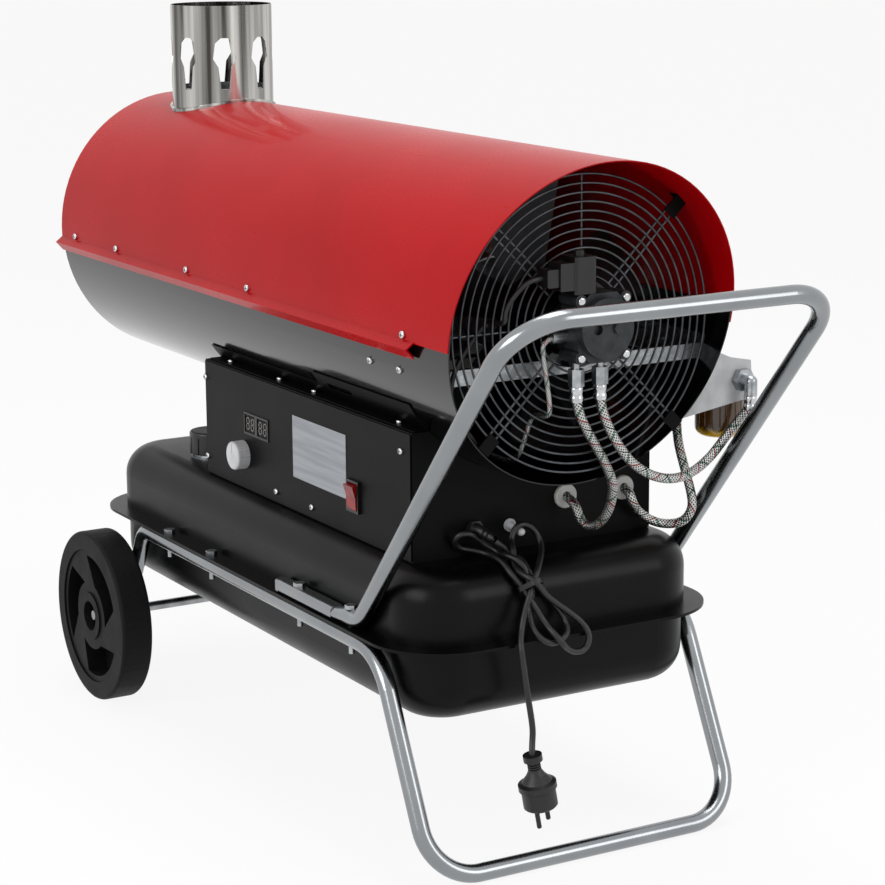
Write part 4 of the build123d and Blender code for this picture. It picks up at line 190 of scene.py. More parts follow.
@dataclass(frozen=True)
class Finish:
    """A surface finish whose colour, roughness and relief come from noise of real size.

    Attributes:
        tone: sRGB hex colour.
        drift_to: sRGB hex colour that the first one drifts to.
        rough: mean roughness.
        rough_by: how far the roughness drifts either way.
        metallic: 1 for bare metal.
        coat: weight of a clear shiny coat.
        coat_rough: roughness of that coat.
        specular: specular level of a surface that isn't metal.
        patch_mm: size of the colour's patches.
        grain_mm: size of the fine grain.
        relief: strength of the grain's relief.
        pull: how much finer the pattern is along X, Y and Z, for brushing and painted reflection
            streaks.
        clear: how much light passes through.
        dimples_mm: spacing of moulded dimples, or 0 for none.
    """

    tone: str
    drift_to: str
    rough: float
    rough_by: float = 0.04
    metallic: float = 0.0
    coat: float = 0.0
    coat_rough: float = 0.05
    specular: float = 0.5
    patch_mm: float = 60.0
    grain_mm: float = 1.2
    relief: float = 0.05
    pull: tuple[float, float, float] = (1.0, 1.0, 1.0)
    clear: float = 0.0
    dimples_mm: float = 0.0

    def build(self, name: str) -> bpy.types.Material:
        """Builds the finish as a material.

        Args:
            name: the material's name.

        Returns:
            The material.
        """
        material = bpy.data.materials.new(name)
        material.use_nodes = True
        tree = material.node_tree
        shader = tree.nodes["Principled BSDF"]
        place = add(tree, "TexCoord", out=3)
        pulled = add(tree, "Mapping", {"Vector": place, "Scale": self.pull})
        patches = add(tree, "TexNoise", {"Vector": pulled, "Scale": 1000 / self.patch_mm,
                                         "Detail": 3.0})
        grain = add(tree, "TexNoise", {"Vector": pulled, "Scale": 1000 / self.grain_mm,
                                       "Detail": 2.0})
        share = add(tree, "MapRange", {"Value": patches, "From Min": 0.35, "From Max": 0.65})
        tone = add(tree, "Mix", {0: share, 6: linear(self.tone), 7: linear(self.drift_to)}, 2,
                   data_type="RGBA")
        wear = add(tree, "Math", {0: patches, 1: grain}, operation="ADD")
        rough = add(tree, "MapRange", {"Value": wear, "From Min": 0.7, "From Max": 1.3,
                                       "To Min": self.rough - self.rough_by,
                                       "To Max": self.rough + self.rough_by})
        height = grain
        if self.dimples_mm:
            cells = add(tree, "TexVoronoi", {"Vector": place, "Scale": 1000 / self.dimples_mm,
                                             "Randomness": 0.2})
            pits = add(tree, "MapRange", {"Value": cells, "From Min": 0.15, "From Max": 0.4})
            height = add(tree, "Math", {0: grain, 1: 0.3, 2: pits}, operation="MULTIPLY_ADD")
        normal = add(tree, "Bump", {"Height": height, "Strength": self.relief, "Distance": 0.0006})
        tree.links.new(tone, shader.inputs["Base Color"])
        tree.links.new(rough, shader.inputs["Roughness"])
        tree.links.new(normal, shader.inputs["Normal"])
        shader.inputs["Metallic"].default_value = self.metallic
        shader.inputs["Specular IOR Level"].default_value = self.specular
        shader.inputs["Coat Weight"].default_value = self.coat
        shader.inputs["Coat Roughness"].default_value = self.coat_rough
        shader.inputs["Transmission Weight"].default_value = self.clear
        return material


@dataclass(frozen=True)
class Braid:
    """Stainless wire braid over a rubber hose, with coloured tracer threads, in the hose's own UVs.

    Attributes:
        strands: strand bundles counted round the hose.
        wire: sRGB hex colour of the wire.
        gap: sRGB hex colour between the strands.
        tracers: sRGB hex colours of the tracer threads.
    """

    strands: int = 8
    wire: str = "cfcfcc"
    gap: str = "45474a"
    tracers: tuple[str, ...] = ("7d1f1f", "1d5c46", "151515")

    def build(self, name: str) -> bpy.types.Material:
        """Builds the braid as a material.

        Args:
            name: the material's name.

        Returns:
            The material.
        """
        material = bpy.data.materials.new(name)
        material.use_nodes = True
        tree = material.node_tree
        shader = tree.nodes["Principled BSDF"]
        place = add(tree, "TexCoord", out=2)
        around = add(tree, "SeparateXYZ", {0: place})
        along = add(tree, "SeparateXYZ", {0: place}, 1)
        turns = add(tree, "Math", {0: around, 1: float(self.strands)}, operation="MULTIPLY")
        waves = []
        spirals = []
        for operation in ("ADD", "SUBTRACT"):
            spiral = add(tree, "Math", {0: turns, 1: along}, operation=operation)
            angle = add(tree, "Math", {0: spiral, 1: math.pi}, operation="MULTIPLY")
            wave = add(tree, "Math", {0: angle}, operation="SINE")
            waves.append(add(tree, "Math", {0: wave}, operation="ABSOLUTE"))
            spirals.append(spiral)
        crest = add(tree, "Math", {0: waves[0], 1: waves[1]}, operation="MAXIMUM")
        over = add(tree, "Math", {0: waves[0], 1: waves[1]}, operation="MULTIPLY")
        share = add(tree, "MapRange", {"Value": crest, "From Min": 0.68, "From Max": 0.98})
        tone = add(tree, "Mix", {0: share, 6: linear(self.gap), 7: linear(self.wire)}, 2,
                   data_type="RGBA")
        for number, colour in enumerate(self.tracers):
            part = add(tree, "Math", {0: spirals[number % 2], 1: 1 / self.strands, 2: number / 3},
                       operation="MULTIPLY_ADD")
            turn = add(tree, "Math", {0: part}, operation="FRACT")
            thread = add(tree, "Math", {0: turn, 1: 0.055}, operation="LESS_THAN")
            tone = add(tree, "Mix", {0: thread, 6: tone, 7: linear(colour)}, 2, data_type="RGBA")
        rough = add(tree, "MapRange", {"Value": over, "To Min": 0.45, "To Max": 0.26})
        height = add(tree, "Math", {0: crest, 1: over}, operation="ADD")
        normal = add(tree, "Bump", {"Height": height, "Strength": 0.6, "Distance": 0.0005})
        tree.links.new(tone, shader.inputs["Base Color"])
        tree.links.new(rough, shader.inputs["Roughness"])
        tree.links.new(normal, shader.inputs["Normal"])
        shader.inputs["Metallic"].default_value = 1.0
        return material


@dataclass(frozen=True)
class AmberBowl:
    """Clear amber nylon of the filter bowl, bright at its foot and dark where the filter hangs.

    Attributes:
        foot: sRGB hex colour low down.
        upper: sRGB hex colour where the filter hangs.
    """

    foot: str = "f0bc00"
    upper: str = "4e3003"

    def build(self, name: str) -> bpy.types.Material:
        """Builds the amber as a material.

        Args:
            name: the material's name.

        Returns:
            The material.
        """
        material = bpy.data.materials.new(name)
        material.use_nodes = True
        tree = material.node_tree
        shader = tree.nodes["Principled BSDF"]
        low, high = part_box("filter_bowl")
        place = add(tree, "TexCoord", out=3)
        height = add(tree, "SeparateXYZ", {0: place}, 2)
        cloud = add(tree, "TexNoise", {"Vector": place, "Scale": 120.0, "Detail": 3.0})
        edge = add(tree, "Math", {0: cloud, 1: 0.012, 2: height}, operation="MULTIPLY_ADD")
        share = add(tree, "MapRange", {"Value": edge, "From Min": low.z + 0.22 * (high.z - low.z),
                                       "From Max": low.z + 0.4 * (high.z - low.z)})
        tone = add(tree, "Mix", {0: share, 6: linear(self.foot), 7: linear(self.upper)}, 2,
                   data_type="RGBA")
        rough = add(tree, "MapRange", {"Value": cloud, "To Min": 0.06, "To Max": 0.2})
        tree.links.new(tone, shader.inputs["Base Color"])
        tree.links.new(rough, shader.inputs["Roughness"])
        shader.inputs["Transmission Weight"].default_value = 0.12
        shader.inputs["Coat Weight"].default_value = 0.6
        return material


FINISHES: dict[str, Finish | Braid | AmberBowl] = {
    # Baked enamel: deep red under a clear shine
    "red_enamel": Finish("b60009", "aa0007", 0.3, specular=0.05, coat=0.12, coat_rough=0.05,
                         patch_mm=180, grain_mm=2.5, relief=0.015),
    # Gloss black enamel: nearly black, it shows the pale floor as a broad grey band
    "black_enamel": Finish("050506", "070708", 0.14, 0.02, specular=0.2, coat=0.4, coat_rough=0.05,
                           patch_mm=150, grain_mm=2.5, relief=0.015),
    # Powder coat: fine orange peel, soft grey shine
    "black_powder": Finish("050505", "080808", 0.42, 0.05, specular=0.08, grain_mm=0.9, relief=0.1),
    "tank_powder": Finish("040404", "060606", 0.31, 0.04, specular=0.13, grain_mm=0.9, relief=0.06),
    # Chromed tube polished along its run: bright with a slightly dull shine
    "satin_chrome": Finish("8b8e91", "949799", 0.21, 0.02, 1.0, patch_mm=90, grain_mm=2.0,
                           relief=0.01),
    # Rolled stainless sheet: its upright pale and dark streaks are painted reflections
    "stainless_painted_reflection": Finish("dad8d3", "474542", 0.12, 0.04, 1.0, patch_mm=17, grain_mm=2.0,
                               relief=0.02, pull=(1.0, 1.0, 0.02)),
    # Zinc plate: cloudy bluish grey
    "zinc_plate": Finish("b7babd", "979b9e", 0.3, 0.1, 1.0, patch_mm=9, grain_mm=0.8, relief=0.05),
    # Sheet and turned steel without plate
    "bare_steel": Finish("8b8d8f", "a3a5a7", 0.32, 0.07, 1.0, patch_mm=14, grain_mm=0.9,
                         relief=0.05),
    # Lacquered wire of the guard: dull grey
    "guard_wire": Finish("3f4245", "54575a", 0.34, 0.06, 0.8, patch_mm=14, grain_mm=0.8,
                         relief=0.04),
    # Bright nickel of screw heads and crimped sleeves
    "nickel_screw": Finish("d6d7d8", "bcbec0", 0.16, 0.05, 1.0, patch_mm=6, grain_mm=0.8,
                           relief=0.03),
    # Die casting, left rough: grainy and dark with oil
    "dark_casting": Finish("26282a", "383b3d", 0.45, 0.08, 0.6, patch_mm=12, grain_mm=0.9,
                           relief=0.3),
    # Clean die casting
    "pale_casting": Finish("a5a7a8", "8a8d8f", 0.42, 0.08, 1.0, patch_mm=12, grain_mm=0.9,
                           relief=0.25),
    # Cast aluminium of the fan, in the shade of the intake
    "fan_aluminium": Finish("2b2d2f", "3d4042", 0.42, 0.08, 0.8, patch_mm=30, grain_mm=1.0,
                            relief=0.08),
    # Turned brass, lightly tarnished
    "turned_brass": Finish("b08a45", "c29a52", 0.28, 0.06, 1.0, patch_mm=8, grain_mm=0.8,
                           relief=0.04),
    # Moulded rubber-like plastic of the wheels: matt, dimpled on its tread
    "wheel_plastic": Finish("080808", "0d0d0d", 0.6, 0.08, specular=0.15, patch_mm=30, grain_mm=0.9,
                            relief=0.3, dimples_mm=11.0),
    # Moulded plastics with a fine grain
    "black_abs": Finish("0b0b0c", "131314", 0.36, 0.06, patch_mm=20, grain_mm=0.9, relief=0.1),
    "grey_abs": Finish("d3d4d5", "bfc0c3", 0.46, 0.06, patch_mm=20, grain_mm=0.9, relief=0.08),
    # Soft rubber and PVC, matt
    "pale_rubber": Finish("c9c9c6", "b6b6b2", 0.6, 0.06, patch_mm=12, grain_mm=0.9, relief=0.15),
    "cord_pvc": Finish("0a0a0b", "121213", 0.44, 0.07, patch_mm=18, grain_mm=0.8, relief=0.12),
    # Red polycarbonate with a lamp behind it
    "red_polycarbonate": Finish("9c0808", "6c0505", 0.25, 0.04, specular=0.2, coat=0.3, patch_mm=7,
                                grain_mm=1.5, relief=0.03, clear=0.05),
    # Green lacquer of the circuit board
    "solder_mask": Finish("0d4a26", "12602f", 0.4, 0.06, patch_mm=8, grain_mm=1.0, relief=0.08),
    # Blank aluminium foil plate, brushed along its length
    "foil_plate": Finish("8f9297", "a2a5aa", 0.42, 0.06, 0.6, patch_mm=16, grain_mm=1.0,
                         relief=0.05,
                         pull=(0.15, 1.0, 3.0)),
    # Ceramic sleeves of the electrodes
    "glazed_ceramic": Finish("e4e1d8", "d6d2c6", 0.32, 0.05, patch_mm=12, grain_mm=1.0,
                             relief=0.04),
    # Smoked window over the digits
    "smoked_window": Finish("2a2726", "35312f", 0.18, 0.04, coat=0.5, patch_mm=9, grain_mm=1.5,
                            relief=0.02),
    # Unlit digits, and painted shade in the screws' cross recesses
    "pale_print": Finish("76726f", "827e7a", 0.45, 0.05, patch_mm=5, grain_mm=1.0, relief=0.03),
    "recess_painted_shade": Finish("17181a", "222426", 0.5, 0.06, 0.5, patch_mm=4, grain_mm=0.8,
                          relief=0.05),
    "hose_braid": Braid(),
    "amber_nylon": AmberBowl(),
}

NODE_FINISH: dict[str, str] = {
    "upper_shell": "red_enamel", "lower_shell": "black_enamel", "motor_body": "black_enamel",
    "outlet_cone": "black_powder", "control_box": "black_powder", "control_panel": "black_powder",
    "drum_saddle": "black_powder", "tank_upper": "tank_powder", "tank_lower": "tank_powder",
    # The flue pipe, collar and chamber carry upright streaks of painted reflection
    "lower_frame": "satin_chrome", "handle_frame": "satin_chrome", "flue_pipe": "stainless_painted_reflection",
    "flue_collar": "stainless_painted_reflection", "combustion_chamber": "stainless_painted_reflection",
    "motor_bracket": "zinc_plate", "grille_clips": "black_powder", "pump_fittings": "zinc_plate",
    "filter_union": "zinc_plate", "filler_neck": "zinc_plate", "frame_bolts": "zinc_plate",
    "axle_locks": "zinc_plate", "heat_exchanger": "bare_steel", "burner_tube": "bare_steel",
    "motor_shaft": "bare_steel", "pump_coupling": "bare_steel", "axle": "bare_steel",
    "intake_grille": "guard_wire", "shell_screws": "nickel_screw", "panel_screws": "nickel_screw",
    "pump_screws": "nickel_screw", "pump_body": "dark_casting", "filter_head": "pale_casting",
    "fan": "fan_aluminium", "burner_nozzle": "turned_brass", "wheel_left": "wheel_plastic",
    "wheel_right": "wheel_plastic", "solenoid": "black_abs", "solenoid_plug": "black_abs",
    "display": "black_abs", "switch_bezel": "black_abs", "cord_gland": "black_abs",
    "filler_cap": "black_abs", "ignition_transformer": "black_abs", "filter_bracket": "grey_abs",
    "thermostat_knob": "grey_abs", "cord_hook": "grey_abs", "hose_grommets": "pale_rubber",
    "cord_tie": "cord_pvc", "cord_plug": "cord_pvc", "circuit_board": "solder_mask",
    "rating_plate": "foil_plate", "electrodes": "glazed_ceramic", "filter_bowl": "amber_nylon",
    "rocker_switch": "red_polycarbonate",
}


class Workshop:
    """Builds the finishes once and turns meshes and curves into pieces."""

    def __init__(self) -> None:
        """Builds every finish."""
        self.materials = {name: finish.build(name) for name, finish in FINISHES.items()}

    def paint(self, obj: bpy.types.Object, finish: str) -> None:
        """Gives an object one finish in every slot.

        Args:
            obj: the object.
            finish: name in FINISHES.
        """
        if not obj.material_slots:
            obj.data.materials.append(self.materials[finish])
        for slot in obj.material_slots:
            slot.material = self.materials[finish]

    def piece(self, name: str, data: bpy.types.ID, finish: str,
              stands_for: Sequence[str] = ()) -> bpy.types.Object:
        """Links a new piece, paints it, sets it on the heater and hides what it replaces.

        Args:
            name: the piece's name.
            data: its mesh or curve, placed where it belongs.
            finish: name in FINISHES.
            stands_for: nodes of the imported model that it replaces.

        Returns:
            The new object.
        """
        obj = bpy.data.objects.new(name, data)
        bpy.context.scene.collection.objects.link(obj)
        self.paint(obj, finish)
        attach(obj, HEATER)
        if stands_for:
            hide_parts(*stands_for)
        LOG.info("piece %s rides on %s", name, HEATER)
        return obj

    def shape(self, name: str, build: Callable[[bmesh.types.BMesh], None],
              crease_deg: float = 35.0) -> bpy.types.Mesh:
        """Makes a mesh with a bmesh and shades its gentle edges smooth.

        Args:
            name: the mesh's name.
            build: fills the bmesh.
            crease_deg: edges sharper than this stay hard.

        Returns:
            The mesh.
        """
        work = bmesh.new()
        build(work)
        bmesh.ops.remove_doubles(work, verts=work.verts, dist=1e-6)
        bmesh.ops.recalc_face_normals(work, faces=work.faces)
        for face in work.faces:
            face.smooth = True
        for edge in work.edges:
            edge.smooth = edge.calc_face_angle(0.0) < math.radians(crease_deg)
        mesh = bpy.data.meshes.new(name)
        work.to_mesh(mesh)
        work.free()
        return mesh


def aimed(origin: Sequence[float], axis: Sequence[float]) -> Matrix:
    """A matrix that stands at a point with its Z along an axis.

    Args:
        origin: the point.
        axis: the direction of Z.

    Returns:
        The matrix.
    """
    turn = Vector(axis).to_track_quat("Z", "Y").to_matrix().to_4x4()
    return Matrix.Translation(Vector(origin)) @ turn


def turn_profile(work: bmesh.types.BMesh, profile: Sequence[tuple[float, float]], place: Matrix,
                 sides: int = 36) -> None:
    """Spins a profile about the Z of a placed frame.

    Args:
        work: the bmesh to add to.
        profile: pairs of distance along the axis and radius.
        place: where the profile's own frame stands.
        sides: steps of the spin.
    """
    made = [work.verts.new(place @ Vector((radius, 0.0, along))) for along, radius in profile]
    edges = [work.edges.new(pair) for pair in zip(made, made[1:])]
    bmesh.ops.spin(work, geom=made + edges, cent=place.translation, axis=place.col[2].to_3d(),
                   angle=math.tau, steps=sides, use_merge=True)


def soft_box(work: bmesh.types.BMesh, low: Sequence[float], high: Sequence[float], round_by: float,
             place: Matrix | None = None) -> None:
    """Adds a box with rounded edges.

    Args:
        work: the bmesh to add to.
        low: its lowest corner.
        high: its highest corner.
        round_by: how far the edges are rounded.
        place: frame that the corners are given in.
    """
    size = Vector(high) - Vector(low)
    middle = (Vector(high) + Vector(low)) / 2
    matrix = Matrix.Translation(middle) @ Matrix.Diagonal((*size, 1.0))
    if place is not None:
        matrix = place @ matrix
    made = bmesh.ops.create_cube(work, size=1.0, matrix=matrix)["verts"]
    edges = list({edge for vert in made for edge in vert.link_edges})
    bmesh.ops.bevel(work, geom=edges, offset=round_by, segments=2, affect="EDGES", profile=0.5,
                    material=-1)


@dataclass
class SoftLine:
    """A hose, thin line or cord that follows a route.

    Attributes:
        name: what it is called.
        route: control points of its centre line.
        diameter: its outside diameter.
    """

    name: str
    route: Route
    diameter: float

    def curve(self, bevel: bool) -> bpy.types.Curve:
        """The NURBS curve on the route's points.

        Args:
            bevel: whether the curve has the line's thickness.

        Returns:
            The curve.
        """
        curve = bpy.data.curves.new(self.name, "CURVE")
        curve.dimensions = "3D"
        curve.resolution_u = STEPS_A_POINT
        curve.bevel_depth = self.diameter / 2 if bevel else 0.0
        curve.bevel_resolution = 5
        curve.use_fill_caps = bevel
        spline = curve.splines.new("NURBS")
        spline.points.add(len(self.route) - 1)
        for point, place in zip(spline.points, self.route):
            point.co = (*place, 1.0)
        spline.order_u = 3
        spline.use_endpoint_u = True
        return curve

    def centre_line(self) -> list[Vector]:
        """Points read from the line's own smooth spline."""
        curve = self.curve(bevel=False)
        holder = bpy.data.objects.new("centre_line", curve)
        bpy.context.scene.collection.objects.link(holder)
        graph = bpy.context.evaluated_depsgraph_get()
        mesh = bpy.data.meshes.new_from_object(holder.evaluated_get(graph))
        points = [vertex.co.copy() for vertex in mesh.vertices]
        bpy.data.meshes.remove(mesh)
        bpy.data.objects.remove(holder)
        bpy.data.curves.remove(curve)
        return points

    def skin(self, work: bmesh.types.BMesh, sides: int, lay: float) -> None:
        """Extrudes a round skin along the line, with UVs of turns round it and lays along it.

        Args:
            work: the bmesh to add to.
            sides: corners round the line.
            lay: length of one lay of the pattern.
        """
        points = self.centre_line()
        uv = work.loops.layers.uv.new("UVMap")
        tangent = (points[1] - points[0]).normalized()
        side = tangent.orthogonal().normalized()
        turned = Matrix((side, tangent.cross(side), tangent)).transposed().to_4x4()
        station = Matrix.Translation(points[0]) @ turned
        ring = bmesh.ops.create_circle(work, segments=sides, radius=self.diameter / 2,
                                       matrix=station)["verts"]
        edges = list({edge for vert in ring for edge in vert.link_edges})
        bmesh.ops.edgeloop_fill(work, edges=edges)
        travelled = 0.0
        for index in range(1, len(points)):
            ahead = (points[min(index + 1, len(points) - 1)] - points[index - 1]).normalized()
            side = (tangent.rotation_difference(ahead) @ side).normalized()
            tangent = ahead
            turned = Matrix((side, tangent.cross(side), tangent)).transposed().to_4x4()
            after = Matrix.Translation(points[index]) @ turned
            made = bmesh.ops.extrude_edge_only(work, edges=edges)["geom"]
            verts = [item for item in made if isinstance(item, bmesh.types.BMVert)]
            faces = [item for item in made if isinstance(item, bmesh.types.BMFace)]
            edges = [item for item in made
                     if isinstance(item, bmesh.types.BMEdge) and item.is_boundary]
            bmesh.ops.transform(work, matrix=after @ station.inverted(), verts=verts)
            step = (points[index] - points[index - 1]).length
            fresh = set(verts)
            for face in faces:
                spots = []
                for loop in face.loops:
                    far = loop.vert in fresh
                    local = (after if far else station).inverted() @ loop.vert.co
                    spots.append((loop, math.atan2(local.y, local.x) / math.tau % 1.0,
                                  (travelled + (step if far else 0.0)) / lay))
                seam = max(turn for _, turn, _ in spots) > 0.6
                for loop, turn, run in spots:
                    loop[uv].uv = (turn + 1.0 if seam and turn < 0.4 else turn, run)
            travelled += step
            station = after
        bmesh.ops.edgeloop_fill(work, edges=edges)


@dataclass
class FuelLines:
    """Braided fuel hoses with crimped sleeves, and the thin lines of the burner.

    Attributes:
        lay: length of one lay of the braid.
        sides: corners round a hose.
        sleeve: profile of a crimped sleeve, as distance from the hose's end and radius.
    """

    lay: float = 0.0037
    sides: int = 24
    sleeve: tuple[tuple[float, float], ...] = (
        (0.006, 0.0045), (0.006, 0.0060), (0.0068, 0.0065), (0.0112, 0.0065), (0.0120, 0.0060),
        (0.0148, 0.0060), (0.0156, 0.0065), (0.0198, 0.0065), (0.0207, 0.0059), (0.0207, 0.0045))
    braided: tuple[SoftLine, ...] = field(default_factory=lambda: (
        SoftLine("return_hose", RETURN_ROUTE, HOSE_D),
        SoftLine("suction_hose", SUCTION_ROUTE, HOSE_D),
        SoftLine("tank_hose", TANK_ROUTE, HOSE_D)))
    nozzle_line: SoftLine = field(
        default_factory=lambda: SoftLine("nozzle_hose", NOZZLE_ROUTE, THIN_LINE_D))
    valve_cable: SoftLine = field(
        default_factory=lambda: SoftLine("solenoid_cable", CABLE_ROUTE, THIN_LINE_D))

    def dress(self, shop: Workshop) -> None:
        """Builds the hoses, their sleeves and the thin lines.

        Args:
            shop: the workshop.
        """
        for line in self.braided:
            mesh = shop.shape(f"{line.name}_braid",
                              lambda work: line.skin(work, self.sides, self.lay), 80)
            shop.piece(f"{line.name}_braid", mesh, "hose_braid",
                       stands_for=[line.name])
            points = line.centre_line()
            ends = [("start", points[0], points[2])]
            if line.name == "suction_hose":
                ends.append(("far", points[-1], points[-3]))
            for end, here, inward in ends:
                place = aimed(here, inward - here)
                mesh = shop.shape(f"{line.name}_{end}_sleeve",
                                  lambda work: turn_profile(work, self.sleeve, place))
                shop.piece(f"{line.name}_{end}_sleeve", mesh, "nickel_screw")
        for line, finish, slot in ((self.nozzle_line, "hose_braid", Slot.HOSE_BRAID),
                                   (self.valve_cable, "cord_pvc", Slot.CORD_RUBBER)):
            mesh = shop.shape(f"{line.name}_skin", lambda work: line.skin(work, 16, self.lay), 80)
            shop.piece(f"{line.name}_skin", mesh, finish, stands_for=[line.name])


@dataclass
class MainsCord:
    """The mains cord from its gland, over the hook and down to its plug.

    Attributes:
        line: the cord's line.
        relief: profile of the strain relief, as distance from the gland and radius.
    """

    line: SoftLine = field(default_factory=lambda: SoftLine("mains_cord", CORD_ROUTE, CORD_D))
    relief: tuple[tuple[float, float], ...] = (
        (-0.004, 0.0033), (-0.004, 0.0056), (0.004, 0.0054), (0.005, 0.0048), (0.007, 0.0048),
        (0.008, 0.0051), (0.010, 0.0050), (0.011, 0.0045), (0.013, 0.0044), (0.014, 0.0047),
        (0.016, 0.0046), (0.017, 0.0041), (0.019, 0.0040), (0.021, 0.0034))

    def dress(self, shop: Workshop) -> None:
        """Builds the cord and its strain relief.

        Args:
            shop: the workshop.
        """
        cord = shop.piece("mains_cord", self.line.curve(bevel=True), "cord_pvc",
                          stands_for=["power_cord"])
        place = aimed(CORD_ROUTE[0], Vector(CORD_ROUTE[1]) - Vector(CORD_ROUTE[0]))
        mesh = shop.shape("strain_relief", lambda work: turn_profile(work, self.relief, place))
        shop.piece("strain_relief", mesh, "cord_pvc")


@dataclass
class PanelFittings:
    """What shows on the control panel: the digits behind their windows.

    Attributes:
        segment: length of one bar of a digit.
        bar: width of one bar of a digit.
        slant: how far a digit leans, per unit of height.
    """

    segment: float = 0.0062
    bar: float = 0.0013
    slant: float = 0.08

    def windows(self, work: bmesh.types.BMesh) -> None:
        """Adds the two smoked windows."""
        low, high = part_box("display")
        middle = (low.x + high.x) / 2
        for side in (-1, 1):
            centre = middle + side * 0.015
            soft_box(work, (centre - 0.0122, low.y + 0.0008, low.z + 0.0023),
                     (centre + 0.0122, low.y + 0.0018, high.z - 0.0023), 0.0002)

    def digits(self, work: bmesh.types.BMesh) -> None:
        """Adds the unlit bars of four digits."""
        low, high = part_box("display")
        middle = (low.x + high.x) / 2
        level = (low.z + high.z) / 2
        for centre in (-0.0205, -0.0095, 0.0095, 0.0205):
            for across, up, upright in ((0, -1, False), (0, 0, False), (0, 1, False),
                                        (-1, -0.5, True), (1, -0.5, True), (-1, 0.5, True),
                                        (1, 0.5, True)):
                high_up = up * self.segment
                x = middle + centre + across * self.segment * 0.5 + high_up * self.slant
                half = (self.segment - 1.25 * self.bar) / 2
                half_x, half_z = (self.bar / 2, half) if upright else (half, self.bar / 2)
                soft_box(work, (x - half_x, low.y + 0.0006, level + high_up - half_z),
                         (x + half_x, low.y + 0.0011, level + high_up + half_z), 0.0001)

    def dress(self, shop: Workshop) -> None:
        """Builds the windows and digits.

        Args:
            shop: the workshop.
        """
        shop.piece("display_windows", shop.shape("display_windows", self.windows), "smoked_window")
        shop.piece("display_digits", shop.shape("display_digits", self.digits), "pale_print")


@dataclass
class ScrewRecessShade:
    """Dark crosses on the shell and panel screw heads, painted shade of their cross recesses.

    Attributes:
        head: height of a screw's head.
        arm: half the length of the cross.
        width: half the width of its arms.
        seam_x: stations of the screws along the seam.
        seam_y: distance of the seam's screws from the middle, under the head.
        seam_z: their height.
        lower_x: stations of the two screws below the seam.
        lower_y: their distance from the middle, under the head.
        lower_z: their height.
        lower_out: the way they point, as distance from the middle and height.
        panel: places of the screws on the panel, as X and Z.
        panel_y: the panel's face.
    """

    head: float = 0.003
    arm: float = 0.0021
    width: float = 0.0005
    seam_x: tuple[float, ...] = (-0.497, -0.373, -0.178, -0.025, 0.308)
    seam_y: float = 0.160
    seam_z: float = 0.526
    lower_x: tuple[float, ...] = (0.231, 0.289)
    lower_y: float = 0.1531
    lower_z: float = 0.489
    lower_out: tuple[float, float] = (0.966, -0.259)
    panel: tuple[tuple[float, float], ...] = (
        (-0.1775, 0.4047), (-0.1765, 0.3149), (0.266, 0.4038), (-0.0065, 0.308), (0.0757, 0.308))
    panel_y: float = -0.140

    def places(self) -> list[Matrix]:
        """Frames on the tops of the screw heads, their Z outwards."""
        out_y, out_z = self.lower_out
        found = []
        for side in (-1, 1):
            found += [aimed((x, side * self.seam_y, self.seam_z), (0, side, 0))
                      for x in self.seam_x]
            found += [aimed((x, side * self.lower_y, self.lower_z), (0, side * out_y, out_z))
                      for x in self.lower_x]
        found += [aimed((x, self.panel_y, z), (0, -1, 0)) for x, z in self.panel]
        return [place @ Matrix.Translation((0, 0, self.head)) for place in found]

    def crosses(self, work: bmesh.types.BMesh) -> None:
        """Adds a thin dark cross to each head, painted shade of its recess."""
        for place in self.places():
            for half_x, half_y in ((self.arm, self.width), (self.width, self.arm)):
                soft_box(work, (-half_x, -half_y, -0.0006), (half_x, half_y, 0.0001), 0.00012,
                         place)

    def dress(self, shop: Workshop) -> None:
        """Builds the painted recess shade.

        Args:
            shop: the workshop.
        """
        # Each screw head gets a dark cross of painted shade where its recess is
        shop.piece("screw_recess_shade", shop.shape("screw_recess_shade", self.crosses), "recess_painted_shade")


